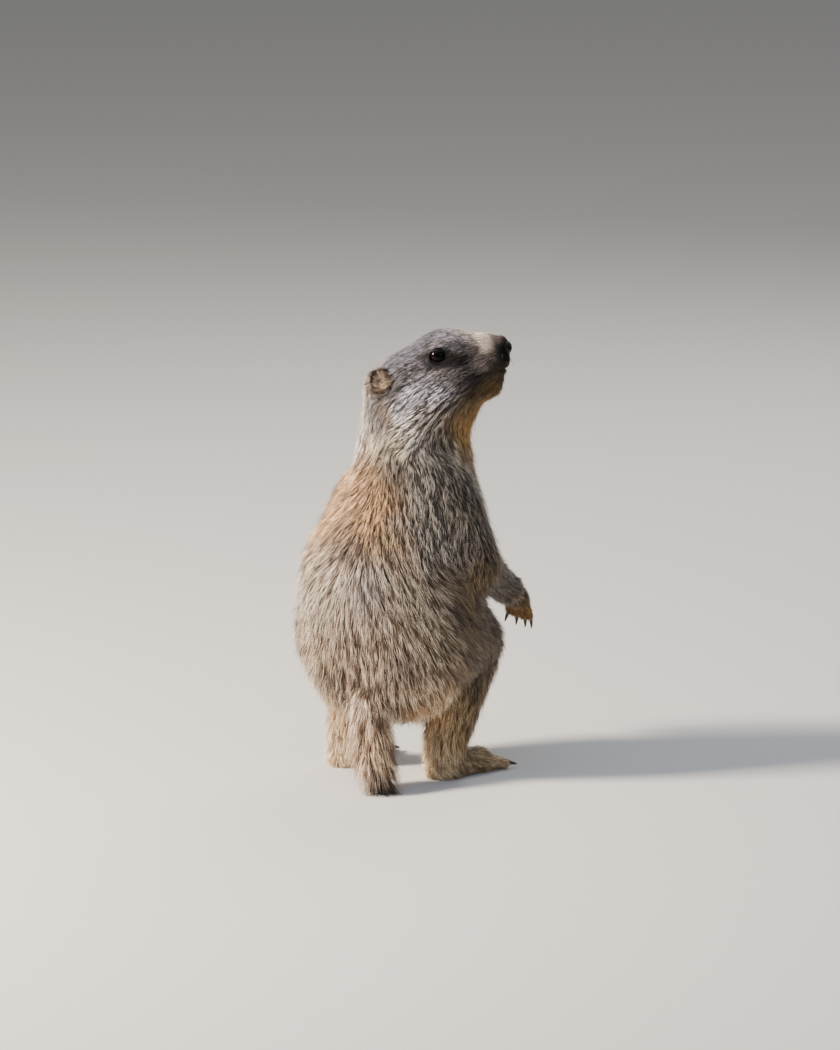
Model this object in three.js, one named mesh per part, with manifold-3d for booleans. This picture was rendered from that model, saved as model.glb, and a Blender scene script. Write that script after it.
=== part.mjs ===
// A young alpine marmot, life size, standing up on its hind legs to look over its right shoulder.
// Millimetres. +X is the way its hips face, +Y is its left side, +Z is up and the floor is at z = 0.
// The flesh is modelled as soft forms blended into one another. A capsule is pushed out onto the blend
// to give each closed surface, out to the tips of the coat, and thin cuts then part it into the
// animal's own parts: head, jaw, neck, chest, belly, arms, legs and tail.
import * as THREE from 'three';
import { mergeVertices } from 'three/addons/utils/BufferGeometryUtils.js';
import Module from 'manifold-3d';

const wasm = await Module();
wasm.setup();

// Driving sizes
const GAP = 0.3; // between two parts that touch
const HEAD_YAW = -62; // degrees that the head is turned to its right of the hips
const HEAD_PITCH = 27; // degrees that the muzzle is raised
const HEAD_ROLL = -5; // degrees that the left ear is tipped down
const EYE_HEIGHT = 307; // the middle of the head, between the eyes, above the floor
const HIP_WIDTH = 82; // between the middles of the two thighs
const FOOT_SPREAD = 84; // between the middles of the two hind feet
const FOOT_LENGTH = 78; // heel to toe tips
const EYE_RADIUS = 6.5;
const EYE_SPACING = 33; // between the middles of the two eyeballs
const EYE_SLANT = 33; // degrees that the front corner of the eye lies below the rear one
const EAR_RADIUS = 10.5;
const ARM_REACH = 51; // from the elbow to the wrist, seen from above
const TAIL_RINGS = 5; // rings of locks along the tail
const TAIL_LOCKS_ROUND = 9; // locks in each ring
const TAIL_LOCK_LENGTH = 31;

const SIDES = { left: 1, right: -1 };
const vec = (x, y, z) => new THREE.Vector3(x, y, z);
const degrees = THREE.MathUtils.degToRad;

// The same small variation on every run, from -amount to +amount
let draw = 20;
function jitter(amount) {
  draw = (draw * 16807) % 2147483647;
  return amount * ((2 * draw) / 2147483647 - 1);
}

// Soft forms. Each is a function that gives the distance from a point to its surface, negative inside.
function ball(centre, radii) {
  const q = vec(0, 0, 0);
  return (p) => {
    q.copy(p).sub(centre);
    const scaled = Math.hypot(q.x / radii.x, q.y / radii.y, q.z / radii.z);
    const slope = Math.hypot(q.x / radii.x ** 2, q.y / radii.y ** 2, q.z / radii.z ** 2);
    return slope < 1e-9 ? -Math.min(radii.x, radii.y, radii.z) : (scaled * (scaled - 1)) / slope;
  };
}

function limb(from, to, startRadius, endRadius) {
  const along = to.clone().sub(from);
  const length2 = along.lengthSq();
  const q = vec(0, 0, 0);
  return (p) => {
    const t = THREE.MathUtils.clamp(q.copy(p).sub(from).dot(along) / length2, 0, 1);
    return q.addScaledVector(along, -t).length() - THREE.MathUtils.lerp(startRadius, endRadius, t);
  };
}

function blend(softness, ...forms) {
  return (p) => {
    let near = Infinity;
    for (const form of forms) {
      const d = form(p);
      const h = near === Infinity ? 0 : THREE.MathUtils.clamp(0.5 + (0.5 * (d - near)) / softness, 0, 1);
      near = near === Infinity ? d : d * (1 - h) + near * h - softness * h * (1 - h);
    }
    return near;
  };
}

// The same form carried into another frame, as the neck is into the head's.
function carried(form, matrix) {
  const back = matrix.clone().invert();
  const q = vec(0, 0, 0);
  return (p) => form(q.copy(p).applyMatrix4(back));
}

// How far a ray from inside a form goes before it comes out.
function depthAlong(form, from, direction, reach) {
  const p = vec(0, 0, 0);
  let s = 0;
  while (s < reach) {
    const d = form(p.copy(from).addScaledVector(direction, s));
    if (d > -0.01) return s;
    s += Math.max(-0.8 * d, 0.02);
  }
  return reach;
}

// A closed solid from a geometry whose surface is one closed skin.
function solidOf(geometry) {
  const bare = geometry.clone();
  for (const name of ['normal', 'uv']) bare.deleteAttribute(name);
  const merged = mergeVertices(bare, 1e-4);
  const index = merged.index.array;
  const kept = [];
  for (let i = 0; i < index.length; i += 3) {
    const [a, b, c] = [index[i], index[i + 1], index[i + 2]];
    if (a !== b && b !== c && a !== c) kept.push(a, b, c);
  }
  return new wasm.Manifold(
    new wasm.Mesh({
      numProp: 3,
      vertProperties: new Float32Array(merged.attributes.position.array),
      triVerts: new Uint32Array(kept),
    }),
  );
}

function geometryOf(solid) {
  const { vertProperties, triVerts, numProp, numVert } = solid.getMesh();
  const position = new Float32Array(numVert * 3);
  for (let i = 0; i < numVert; i++) {
    position.set(vertProperties.subarray(i * numProp, i * numProp + 3), i * 3);
  }
  const geometry = new THREE.BufferGeometry();
  geometry.setAttribute('position', new THREE.BufferAttribute(position, 3));
  geometry.setIndex(new THREE.BufferAttribute(new Uint32Array(triVerts), 1));
  geometry.computeVertexNormals();
  return geometry;
}

function largest(solid) {
  return solid.decompose().reduce((a, b) => (b.volume() > a.volume() ? b : a));
}

// A capsule bent along a spine, with each vertex pushed out from the spine until it meets the form.
function wrap(form, spine, { rings, sides, caps = 4, reach = 120 }) {
  const curve = new THREE.CatmullRomCurve3(spine);
  const frames = curve.computeFrenetFrames(rings, false);
  const points = curve.getSpacedPoints(rings);
  const geometry = new THREE.CapsuleGeometry(1, rings, caps, sides, rings);
  const position = geometry.attributes.position;
  const out = vec(0, 0, 0);
  for (let i = 0; i < position.count; i++) {
    const y = position.getY(i) + rings / 2;
    const ring = THREE.MathUtils.clamp(Math.round(y), 0, rings);
    const lean = y < 0 || y > rings ? y - ring : 0;
    out
      .set(0, 0, 0)
      .addScaledVector(frames.normals[ring], position.getX(i))
      .addScaledVector(frames.tangents[ring], lean)
      .addScaledVector(frames.binormals[ring], -position.getZ(i))
      .normalize();
    out.multiplyScalar(depthAlong(form, points[ring], out, reach)).add(points[ring]);
    position.setXYZ(i, out.x, out.y, out.z);
  }
  return solidOf(geometry);
}

// A cone of few sides, flattened and bent in a curve, as a claw or a lock of hair is. It starts root
// behind the origin, points along +X and bends towards -Z.
function taper({ length, width, thickness, bend, sides, steps, root = 0 }) {
  const geometry = new THREE.ConeGeometry(0.5, 1, sides, steps);
  geometry.translate(0, 0.5, 0);
  const position = geometry.attributes.position;
  for (let i = 0; i < position.count; i++) {
    const t = position.getY(i);
    const swell = 1 + 1.2 * t * (1 - t);
    const angle = bend * t;
    const across = position.getX(i) * width * swell;
    const lift = position.getZ(i) * thickness * swell;
    const turn = length / bend;
    const x = turn * Math.sin(angle) - root;
    const z = -turn * (1 - Math.cos(angle));
    position.setXYZ(i, x + lift * Math.sin(angle), -across, z + lift * Math.cos(angle));
  }
  return geometry;
}

// The same form made fatter all round.
function grown(form, by) {
  return (p) => form(p) - by;
}

function egg(centre, radii, around, down) {
  const sphere = new THREE.SphereGeometry(1, around, down).scale(radii.x, radii.y, radii.z);
  return solidOf(sphere.translate(centre.x, centre.y, centre.z));
}

// A box that fills one side of a plane, with its near face gap beyond the plane.
function beyond(point, normal, gap = 0) {
  const size = 400;
  const box = new THREE.BoxGeometry(size, size, size).translate(0, 0, size / 2 + gap);
  box.applyQuaternion(new THREE.Quaternion().setFromUnitVectors(vec(0, 0, 1), normal.clone().normalize()));
  return solidOf(box.translate(point.x, point.y, point.z));
}

// Materials
const coat = (color) => new THREE.MeshStandardMaterial({ color, roughness: 0.9, metalness: 0 });
const materials = {
  back: coat(0x94795f),
  flank: coat(0x8a7763),
  slate: coat(0x6f6964),
  cheek: coat(0x8a8178),
  leg: coat(0x7d6b57),
  paw: coat(0xa58a66),
  tail: coat(0x7a6452),
  ear: coat(0x7c6150),
  nose: new THREE.MeshStandardMaterial({ color: 0x1f1a19, roughness: 0.55, metalness: 0 }),
  eye: new THREE.MeshStandardMaterial({ color: 0x140d0a, roughness: 0.05, metalness: 0 }),
  claw: new THREE.MeshStandardMaterial({ color: 0x2a221c, roughness: 0.4, metalness: 0 }),
};

const marmot = new THREE.Group();

function addNode(parent, name, solid, material) {
  const mesh = new THREE.Mesh(geometryOf(largest(solid)), material);
  mesh.name = name;
  parent.add(mesh);
  return mesh;
}

// The head's frame: its middle between the eyes, +X out along the muzzle and +Z up through the crown
const headGroup = new THREE.Group();
headGroup.position.set(29, -18.5, EYE_HEIGHT);
headGroup.rotation.set(degrees(HEAD_ROLL), degrees(-HEAD_PITCH), degrees(HEAD_YAW), 'ZYX');
headGroup.updateMatrix();
const intoHead = headGroup.matrix.clone().invert();
marmot.add(headGroup);

// Landmarks of the skeleton under the coat
const hip = (side) => vec(-10, side * HIP_WIDTH * 0.49, 101);
const knee = (side) => vec(28, side * HIP_WIDTH * 0.51, 97);
const shoulder = (side) => vec(12 + 2 * side, side * 38 - 2, 196);
const elbow = (side) => vec(15 + 3 * side, side * 56 - 1, 159);
const wrist = (side) => elbow(side).add(vec(ARM_REACH, side * -2, side > 0 ? -23 : -28));
const heel = (side) => vec(-10, (side * FOOT_SPREAD) / 2, 0);
const ankle = (side) => vec(-3, (side * FOOT_SPREAD) / 2, 21);

// Trunk: rump, belly, chest and neck in one blend, with the thighs and upper arms in it
const trunkForm = blend(16,
  blend(22,
    ball(vec(-5, 2, 108), vec(55, 64, 56)),
    ball(vec(-7, 3, 144), vec(58, 68, 58)),
    ball(vec(7, -1.8, 186), vec(47, 52, 44))),
  limb(vec(12, -6, 223), vec(14.5, -5.5, 259), 44, 37),
  ball(vec(-20, 23, 79), vec(34, 34, 35)),
  ball(vec(-20, -23, 79), vec(34, 34, 35)),
  limb(hip(1), knee(1), 35, 27),
  limb(hip(-1), knee(-1), 35, 27),
  limb(shoulder(1), elbow(1), 22, 21),
  limb(shoulder(-1), elbow(-1), 22, 21));

// Head, in its own frame
const cheekForm = (side) => ball(vec(-7, side * 15, -27), vec(27, 17, 18));
const muzzleForm = (side) => ball(vec(30, side * 8.5, -22), vec(13.5, 10.5, 9));
const headForm = blend(8,
  ball(vec(-25, 0, -10), vec(34, 26, 25.5)),
  ball(vec(-1, 0, -5), vec(25, 21, 23)),
  limb(vec(14, 0, -8.5), vec(32, 0, -15.5), 18, 13.5),
  ball(vec(33, 0, -12.5), vec(8, 8, 10.5)),
  limb(vec(-2, 0, -33), vec(23.5, 0, -34.5), 14, 10.5),
  ball(vec(-12, 0, -34), vec(24, 23, 18)),
  cheekForm(1), cheekForm(-1), muzzleForm(1), muzzleForm(-1));

// Head and trunk are wrapped from the same blend, so that they meet at the nape without a step
const wholeForm = blend(16, trunkForm, carried(headForm, headGroup.matrix));
const trunkSpine = [vec(-2, 0, 84), vec(0, 0, 130), vec(5, -1, 180), vec(12, -5, 225), vec(18, -8, 258)];
const trunkMesh = { rings: 24, sides: 36, caps: 6, reach: 140 };
const trunk = wrap(wholeForm, trunkSpine, trunkMesh);
const trunkGrown = wrap(grown(wholeForm, GAP), trunkSpine, trunkMesh);
const headSpine = [vec(-36, 0, -18), vec(-18, 0, -19), vec(6, 0, -20), vec(32, 0, -25)];
const headMesh = { rings: 17, sides: 30, caps: 5, reach: 90 };
const headWhole = wrap(carried(wholeForm, intoHead), headSpine, headMesh);

// The flat where the head meets the neck, in the head's frame and in the body's
const napeCut = vec(-46, 0, -36);
const napeNormal = vec(-0.62, 0, -0.78).normalize();
const napeCutBody = napeCut.clone().applyMatrix4(headGroup.matrix);
const napeNormalBody = napeNormal.clone().transformDirection(headGroup.matrix);

// Trunk parts
const chestCut = vec(12, -4, 220);
const chestNormal = vec(0.15, -0.1, 1);
const waistCut = vec(0, 0, 140);
const waistNormal = vec(0.1, 0, 1);
let body = trunk.subtract(beyond(napeCutBody, napeNormalBody.clone().negate(), -GAP / 2));
for (const [name, side] of Object.entries(SIDES)) {
  const thighCut = (by) => egg(vec(14, side * 88, 86), vec(60 + by, 56 + by, 60 + by), 22, 14);
  const armCut = (by) => egg(vec(20, side * 86 - 2, 180), vec(36 + by, 44 + by, 46 + by), 18, 12);
  addNode(marmot, `thigh_${name}`, body.intersect(thighCut(0)), materials.flank);
  body = body.subtract(thighCut(GAP));
  addNode(marmot, `upper_arm_${name}`, body.intersect(armCut(0)), materials.leg);
  body = body.subtract(armCut(GAP));
}
const aboveChest = beyond(chestCut, chestNormal, GAP / 2);
const belowChest = beyond(chestCut, chestNormal.clone().negate(), GAP / 2);
const aboveWaist = beyond(waistCut, waistNormal, GAP / 2);
const belowWaist = beyond(waistCut, waistNormal.clone().negate(), GAP / 2);
addNode(marmot, 'neck', body.intersect(aboveChest), materials.cheek);
addNode(marmot, 'chest', body.intersect(belowChest).intersect(aboveWaist), materials.back);
addNode(marmot, 'belly_and_rump', body.intersect(belowWaist), materials.back);

// Nose pad with its two nostrils
const noseCentre = vec(43, 0, -14.5);
const noseRadii = vec(6.3, 8, 8.3);
let nose = egg(noseCentre, noseRadii, 16, 10);
for (const side of Object.values(SIDES)) {
  const nostril = new THREE.CapsuleGeometry(1.3, 3.5, 2, 6);
  nostril.rotateZ(degrees(25 * side)).rotateX(degrees(65 * side));
  nose = nose.subtract(solidOf(nostril.translate(noseCentre.x + 4, side * 3.8, noseCentre.z - 2.5)));
}
addNode(headGroup, 'nose', nose, materials.nose);

// An ear is an oval cup, sunk in the side of the head at its front and standing off it behind, where its
// rim is highest. The profile gives radius and height from the bottom of the cup round to its inside.
const EAR_PROFILE = [
  [0, -0.9], [0.5, -0.8], [0.86, -0.46], [1, 0], [1.02, 0.24],
  [0.9, 0.3], [0.78, 0], [0.56, -0.34], [0, -0.5],
];
function earCup(profile, side, by = 0) {
  const points = profile.map(([radius, height]) => (
    new THREE.Vector2(radius ? radius * EAR_RADIUS + by : 0, height * EAR_RADIUS - by)));
  const cup = new THREE.LatheGeometry(points, 16);
  const position = cup.attributes.position;
  for (let i = 0; i < position.count; i++) {
    const [x, y, z] = [position.getX(i), position.getY(i), position.getZ(i)];
    const behind = (0.8 * x - 0.6 * side * z) / EAR_RADIUS;
    const flare = 0.25 * Math.max(behind, 0) * Math.max(y / EAR_RADIUS + 0.9, 0) * EAR_RADIUS;
    position.setXYZ(i, x * (1 + 0.1 * behind), y + flare, z * (0.95 + 0.1 * behind));
  }
  const out = vec(0.5, side * 0.84, 0.16).normalize();
  const back = vec(-1, 0, 0).addScaledVector(out, out.x).normalize();
  cup.applyMatrix4(new THREE.Matrix4().makeBasis(back, out, back.clone().cross(out)));
  cup.translate(-45.5, side * 21.5, 1);
  return solidOf(cup);
}

// Eyes in their lids, and ears
const eyeCentre = (side) => vec(0, (side * EYE_SPACING) / 2, 0);
const eyeBall = (centre, radius) => egg(centre, new THREE.Vector3().setScalar(radius), 14, 10);
let skull = headWhole.subtract(egg(noseCentre, noseRadii.clone().addScalar(GAP), 16, 10));
for (const [name, side] of Object.entries(SIDES)) {
  const eye = addNode(headGroup, `eye_${name}`, eyeBall(vec(0, 0, 0), EYE_RADIUS), materials.eye);
  eye.position.copy(eyeCentre(side));
  const gaze = vec(0.05, side, -0.12).normalize();
  const lids = new THREE.TorusGeometry(6, 1.3, 5, 16).scale(1.15, 0.86, 1);
  lids.rotateZ(degrees(EYE_SLANT * side));
  lids.applyQuaternion(new THREE.Quaternion().setFromUnitVectors(vec(0, 0, 1), gaze));
  lids.translate(...eyeCentre(side).addScaledVector(gaze, EYE_RADIUS * 0.56));
  skull = skull.add(solidOf(lids)).subtract(eyeBall(eyeCentre(side), EYE_RADIUS + GAP));
  addNode(headGroup, `ear_${name}`, earCup(EAR_PROFILE, side), materials.ear);
  skull = skull.subtract(earCup([...EAR_PROFILE.slice(0, 5), [1.02, 1.5], [0, 1.5]], side, GAP));
}

// The mouth: a groove round the front of the muzzle, and the cut behind it that frees the lower jaw
const mouthLine = [[70, -32], [41, -31], [26, -28], [15, -25], [8, -26], [1, -34], [-5, -46], [-7, -90]]
  .map((point) => new THREE.Vector2(...point));
const mouthLower = mouthLine.map((point, i) => {
  const before = mouthLine[Math.max(i - 1, 0)];
  const after = mouthLine[Math.min(i + 1, mouthLine.length - 1)];
  const across = after.clone().sub(before).normalize().rotateAround(new THREE.Vector2(), degrees(90));
  return point.clone().addScaledVector(across, GAP);
});
const mouthBand = new THREE.Shape([...mouthLine, ...mouthLower.toReversed()]);
const mouthCut = new THREE.ExtrudeGeometry(mouthBand, { depth: 160, bevelEnabled: false });
mouthCut.rotateX(degrees(90)).translate(0, 80, 0);
const lipAt = (x, z, side) => vec(x, side * depthAlong(headForm, vec(x, 0, z), vec(0, side, 0), 60), z);
const lipFront = vec(20 + depthAlong(headForm, vec(20, 0, -30.6), vec(1, 0, 0), 60), 0, -30.6);
const lipPlaces = [[8, -25], [15, -25], [26, -28], [33, -29.5]];
const lips = [
  ...lipPlaces.map(([x, z]) => lipAt(x, z, 1)),
  lipFront,
  ...lipPlaces.map(([x, z]) => lipAt(x, z, -1)).reverse(),
];
const grooveCorners = [[0, -1], [1, 0], [0, 1], [-1, 0]];
const grooveSection = new THREE.Shape(grooveCorners.map((corner) => new THREE.Vector2(...corner)));
const groove = new THREE.ExtrudeGeometry(grooveSection,
  { steps: 18, bevelEnabled: false, extrudePath: new THREE.CatmullRomCurve3(lips) });
const [head, jaw] = skull
  .subtract(beyond(napeCut, napeNormal, -GAP / 2))
  .subtract(solidOf(groove))
  .subtract(solidOf(mouthCut))
  .decompose()
  .sort((a, b) => b.volume() - a.volume());
addNode(headGroup, 'head', head, materials.slate);
addNode(headGroup, 'lower_jaw', jaw, materials.slate);

// A paw or foot: a pad of flesh with a fan of digits, each with its own claw
function makeFoot(group, name, { pad, spine, mesh, digits, radius, claw }) {
  let flesh = wrap(pad, spine, mesh);
  digits.forEach(({ from, to }, i) => {
    const fingerForm = limb(from, to, radius, radius * 0.85);
    const finger = (by) => wrap(grown(fingerForm, by), [from, to], { rings: 1, sides: 7, caps: 2 });
    const way = to.clone().sub(from).normalize();
    const nail = taper(claw).applyQuaternion(new THREE.Quaternion().setFromUnitVectors(vec(1, 0, 0), way));
    nail.translate(...to.clone().addScaledVector(way, radius * 0.3).add(vec(0, 0, radius * 0.15)));
    addNode(group, `${name}_claw_${i + 1}`, solidOf(nail).subtract(finger(GAP)), materials.claw);
    flesh = flesh.add(finger(0));
  });
  return flesh;
}

// Arms: the forearm comes out of the trunk at the elbow and the paw hangs from the wrist
for (const [name, side] of Object.entries(SIDES)) {
  const forearmForm = blend(6, limb(elbow(side), wrist(side), 18, 10), ball(wrist(side), vec(11, 11, 10)));
  const forearm = wrap(forearmForm, [elbow(side), wrist(side)], { rings: 6, sides: 14, caps: 3 });
  const pawGroup = new THREE.Group();
  pawGroup.position.copy(wrist(side));
  pawGroup.rotation.set(degrees(-8 * side), degrees(30), degrees(-4 * side), 'ZYX');
  pawGroup.updateMatrix();
  marmot.add(pawGroup);
  const paw = makeFoot(pawGroup, `forepaw_${name}`, {
    pad: blend(5, limb(vec(0, 0, 0), vec(12, 0, 0), 10.5, 9), ball(vec(16, 0, -0.5), vec(10, 11.5, 6.5))),
    spine: [vec(2, 0, 0), vec(16, 0, 0)],
    mesh: { rings: 4, sides: 12, caps: 3 },
    digits: [-8.5, -3, 3, 8.5].map((y, i) => ({
      from: vec(20, y * 0.8, -1),
      to: vec(i % 3 ? 33 : 30, y * 1.15, -9),
    })),
    radius: 3.4,
    claw: { length: 11, width: 2.8, thickness: 3.2, bend: 0.8, sides: 5, steps: 2 },
  });
  const wristCut = vec(4, 0, 0);
  const beyondWrist = beyond(wristCut, vec(1, 0, 0), GAP / 2);
  addNode(pawGroup, `forepaw_${name}`, paw.intersect(beyondWrist), materials.paw);
  const wristCutBody = wristCut.clone().applyMatrix4(pawGroup.matrix);
  const pawWay = vec(1, 0, 0).transformDirection(pawGroup.matrix);
  addNode(marmot, `forearm_${name}`, forearm
    .subtract(trunkGrown)
    .subtract(beyond(wristCutBody, pawWay, -GAP / 2)), materials.leg);
}

// Legs: the shank runs from the knee back to the ankle, and the foot stands flat on its sole
const underFloor = beyond(vec(0, 0, 0), vec(0, 0, -1));
for (const [name, side] of Object.entries(SIDES)) {
  const footGroup = new THREE.Group();
  footGroup.position.copy(heel(side));
  footGroup.rotation.z = degrees(9 * side);
  footGroup.updateMatrix();
  marmot.add(footGroup);
  const toeEnd = FOOT_LENGTH - 14;
  const pad = blend(8,
    limb(vec(2, 0, 8), vec(40, 0, 7), 10.5, 10),
    ball(vec(42, 0, 6), vec(14, 14, 8)),
    limb(vec(6, 0, 8), vec(8, 0, 20), 10, 11));
  const spine = [vec(6, 0, 9), vec(24, 0, 8), vec(42, 0, 6)];
  const mesh = { rings: 6, sides: 14, caps: 3 };
  const foot = makeFoot(footGroup, `hind_foot_${name}`, {
    pad,
    spine,
    mesh,
    digits: [-11, -5.8, 0, 5.8, 11].map((y, i) => ({
      from: vec(44, y * 0.8, 5),
      to: vec(toeEnd - Math.abs(i - 2) * 3, y * 1.25, 4),
    })),
    radius: 4,
    claw: { length: 12, width: 3, thickness: 3.4, bend: 0.35, sides: 5, steps: 2 },
  });
  addNode(footGroup, `hind_foot_${name}`, foot.subtract(underFloor), materials.paw);
  const shankTop = knee(side).lerp(ankle(side), 0.14);
  const socket = wrap(grown(pad, 2 * GAP), spine, mesh).transform(footGroup.matrix.elements);
  const shankForm = limb(shankTop, ankle(side), 26, 15);
  const shank = wrap(shankForm, [shankTop, ankle(side)], { rings: 5, sides: 16, caps: 3 });
  addNode(marmot, `shank_${name}`, shank.subtract(trunkGrown).subtract(socket), materials.leg);
}

// Tail: it hangs from the rump and its tip lies on the floor behind, drawn a little to the right.
// Its core reaches half way to the tips, and rings of bent, tapered locks overlap along it.
const tailSpine = [vec(-44, -3, 78), vec(-58, -13, 52), vec(-66, -20, 28), vec(-75, -31, 11)];
const tailForm = blend(10,
  limb(tailSpine[0], tailSpine[1], 13, 12),
  limb(tailSpine[1], tailSpine[2], 12, 11),
  limb(tailSpine[2], tailSpine[3], 11, 6));
const tailCurve = new THREE.CatmullRomCurve3(tailSpine);
const tailFrames = tailCurve.computeFrenetFrames(TAIL_RINGS, false);
let tail = wrap(tailForm, tailSpine, { rings: 6, sides: 10, caps: 3 });

// One lock, rooted under the core's surface, that leans away from it by lift and curls back along it
function tailLock(middle, way, out, lift) {
  const lock = taper({
    length: TAIL_LOCK_LENGTH * (1 + jitter(0.12)),
    width: 11,
    thickness: 4.4,
    bend: degrees(26),
    sides: 4,
    steps: 2,
    root: 5,
  });
  const direction = way.clone().multiplyScalar(Math.cos(lift)).addScaledVector(out, Math.sin(lift));
  const across = way.clone().cross(out).negate();
  lock.applyMatrix4(new THREE.Matrix4().makeBasis(direction, across, direction.clone().cross(across)));
  const depth = depthAlong(tailForm, middle, out, 60);
  return solidOf(lock.translate(...middle.clone().addScaledVector(out, depth * 0.8)));
}

for (let ring = 0; ring <= TAIL_RINGS; ring++) {
  const last = ring === TAIL_RINGS;
  const middle = tailCurve.getPointAt(ring / TAIL_RINGS);
  const count = last ? 6 : TAIL_LOCKS_ROUND;
  for (let i = 0; i < count; i++) {
    const turn = ((i + (ring % 2) / 2 + jitter(0.15)) / count) * 2 * Math.PI;
    const out = tailFrames.normals[ring].clone().multiplyScalar(Math.cos(turn));
    out.addScaledVector(tailFrames.binormals[ring], Math.sin(turn));
    const lift = degrees(last ? 12 : 26 + jitter(4));
    tail = tail.add(tailLock(middle, tailFrames.tangents[ring], out, lift));
  }
}
addNode(marmot, 'tail', tail.subtract(trunkGrown).subtract(underFloor), materials.tail);

// The origin is on the floor, under the middle of the whole animal
const extent = new THREE.Box3().setFromObject(marmot, true);
marmot.position.set(-(extent.min.x + extent.max.x) / 2, -(extent.min.y + extent.max.y) / 2, -extent.min.z);

export default marmot;
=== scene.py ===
# %% [markdown]
# # A young alpine marmot, standing up to look over its shoulder
# The animal is a life-size museum model. One skin covers the whole body, as on the real animal, and a
# coat of solid tufts grows from it. Eyes, nose, ears, claws and whiskers are pieces of their own.
# Lengths are written in millimetres and turned to metres where a mesh is made.

# %% Load the frame
import math
import bpy
import bmesh
import numpy as np
from mathutils import Matrix, Vector
from mathutils.bvhtree import BVHTree
from mathutils.kdtree import KDTree


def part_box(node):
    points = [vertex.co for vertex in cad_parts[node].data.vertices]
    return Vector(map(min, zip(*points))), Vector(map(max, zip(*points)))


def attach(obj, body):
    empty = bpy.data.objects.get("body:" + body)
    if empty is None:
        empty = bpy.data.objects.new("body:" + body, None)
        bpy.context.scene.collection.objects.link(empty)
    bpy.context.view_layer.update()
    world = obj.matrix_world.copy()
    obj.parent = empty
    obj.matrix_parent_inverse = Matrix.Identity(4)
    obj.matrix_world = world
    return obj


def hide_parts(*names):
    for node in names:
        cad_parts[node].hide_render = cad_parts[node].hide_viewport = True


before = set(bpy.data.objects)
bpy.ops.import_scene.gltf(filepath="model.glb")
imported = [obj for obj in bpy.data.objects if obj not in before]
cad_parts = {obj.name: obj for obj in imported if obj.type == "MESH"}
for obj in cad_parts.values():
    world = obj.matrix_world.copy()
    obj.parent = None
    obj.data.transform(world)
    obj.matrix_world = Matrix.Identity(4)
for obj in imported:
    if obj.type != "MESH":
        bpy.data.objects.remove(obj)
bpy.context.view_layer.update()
MM = 0.001
SIDES = {"left": 1, "right": -1}
print("nodes", len(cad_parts))

# %% [markdown]
# Everything is placed from two sets of axes that are found in the frame. The hips' axes stand on the
# floor, with X the way the hips face. The head's axes start between the eyes, with X along the muzzle.

# %% Landmarks
HEAD_FROM_HIPS = np.array([29.0, -18.5, 307.0])
NOSE_DROP = math.radians(19.6)  # the nose lies this far below the head's own X axis


def middle(node):
    low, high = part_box(node)
    return (low + high) / 2


eye_places = {side: middle(f"eye_{side}") for side in SIDES}
head_place = (eye_places["left"] + eye_places["right"]) / 2
across = (eye_places["left"] - eye_places["right"]).normalized()
to_nose = middle("nose") - head_place
to_nose -= across * to_nose.dot(across)
ahead = Matrix.Rotation(-NOSE_DROP, 3, across) @ to_nose.normalized()
HEAD_AXES = np.array([ahead, across, ahead.cross(across)])
HEAD = np.array(head_place) / MM
HIPS = HEAD - HEAD_FROM_HIPS


def from_hips(*point):
    return HIPS + np.array(point, float)


def from_head(*point):
    return HEAD + np.array(point, float) @ HEAD_AXES


def on_head(points):
    return (points - HEAD) @ HEAD_AXES.T


print("hips", HIPS.round(2), "muzzle points", np.array(ahead).round(2))

# %% [markdown]
# The photograph was taken with a long lens from behind the animal's right hip, a little above it. A
# distance of 6 m keeps the same flat perspective. The height that the frame covers sets the lens.

# %% Camera
AZIMUTH = math.radians(-58)
ELEVATION = math.radians(10)
DISTANCE = 6000
FRAME_HEIGHT = 772  # mm of the animal's plane that the 1050 px of the frame cover
SENSOR = 36
AIM_RIGHT, AIM_ABOVE = 16.2, 180  # mm from the hips' axes to the middle of the picture
back = Vector((
    math.sin(AZIMUTH) * math.cos(ELEVATION), -math.cos(AZIMUTH) * math.cos(ELEVATION), math.sin(ELEVATION)))
right = Vector((math.cos(AZIMUTH), math.sin(AZIMUTH), 0))
above = back.cross(right)
aim = Vector(from_hips(0, 0, 0) * MM) + (right * AIM_RIGHT + above * AIM_ABOVE) * MM
camera_data = bpy.data.cameras.new("camera")
camera_data.sensor_width = SENSOR
camera_data.lens = SENSOR * DISTANCE / FRAME_HEIGHT
camera = bpy.data.objects.new("camera", camera_data)
camera.matrix_world = Matrix((right, above, back)).transposed().to_4x4()
camera.matrix_world.translation = aim + back * DISTANCE * MM
bpy.context.scene.collection.objects.link(camera)
bpy.context.scene.camera = camera
print("lens", round(camera_data.lens, 1))

# %% [markdown]
# Materials are made with one function that adds a node, with its settings and what feeds it. Colours
# are written as sRGB hex and turned to the linear values that the renderer works in.

# %% Colour and node helpers


def linear(hex_colour):
    parts = [int(hex_colour[i:i + 2], 16) / 255 for i in (1, 3, 5)]
    return [c / 12.92 if c <= 0.04045 else ((c + 0.055) / 1.055) ** 2.4 for c in parts]


def add_node(tree, kind, inputs=None, **settings):
    node = tree.nodes.new(kind)
    for key, value in settings.items():
        setattr(node, key, value)
    for key, value in (inputs or {}).items():
        if isinstance(value, bpy.types.NodeSocket):
            tree.links.new(value, node.inputs[key])
        else:
            node.inputs[key].default_value = value
    return node


def new_material(name, **shader):
    material = bpy.data.materials.new(name)
    material.use_nodes = True
    tree = material.node_tree
    tree.nodes.clear()
    values = {key.replace("_", " "): value for key, value in shader.items()}
    surface = add_node(tree, "ShaderNodeBsdfPrincipled", values)
    add_node(tree, "ShaderNodeOutputMaterial", {"Surface": surface.outputs[0]})
    return material, tree, surface


print("mid grey is", round(linear("#808080")[0], 3), "of white")

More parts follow.
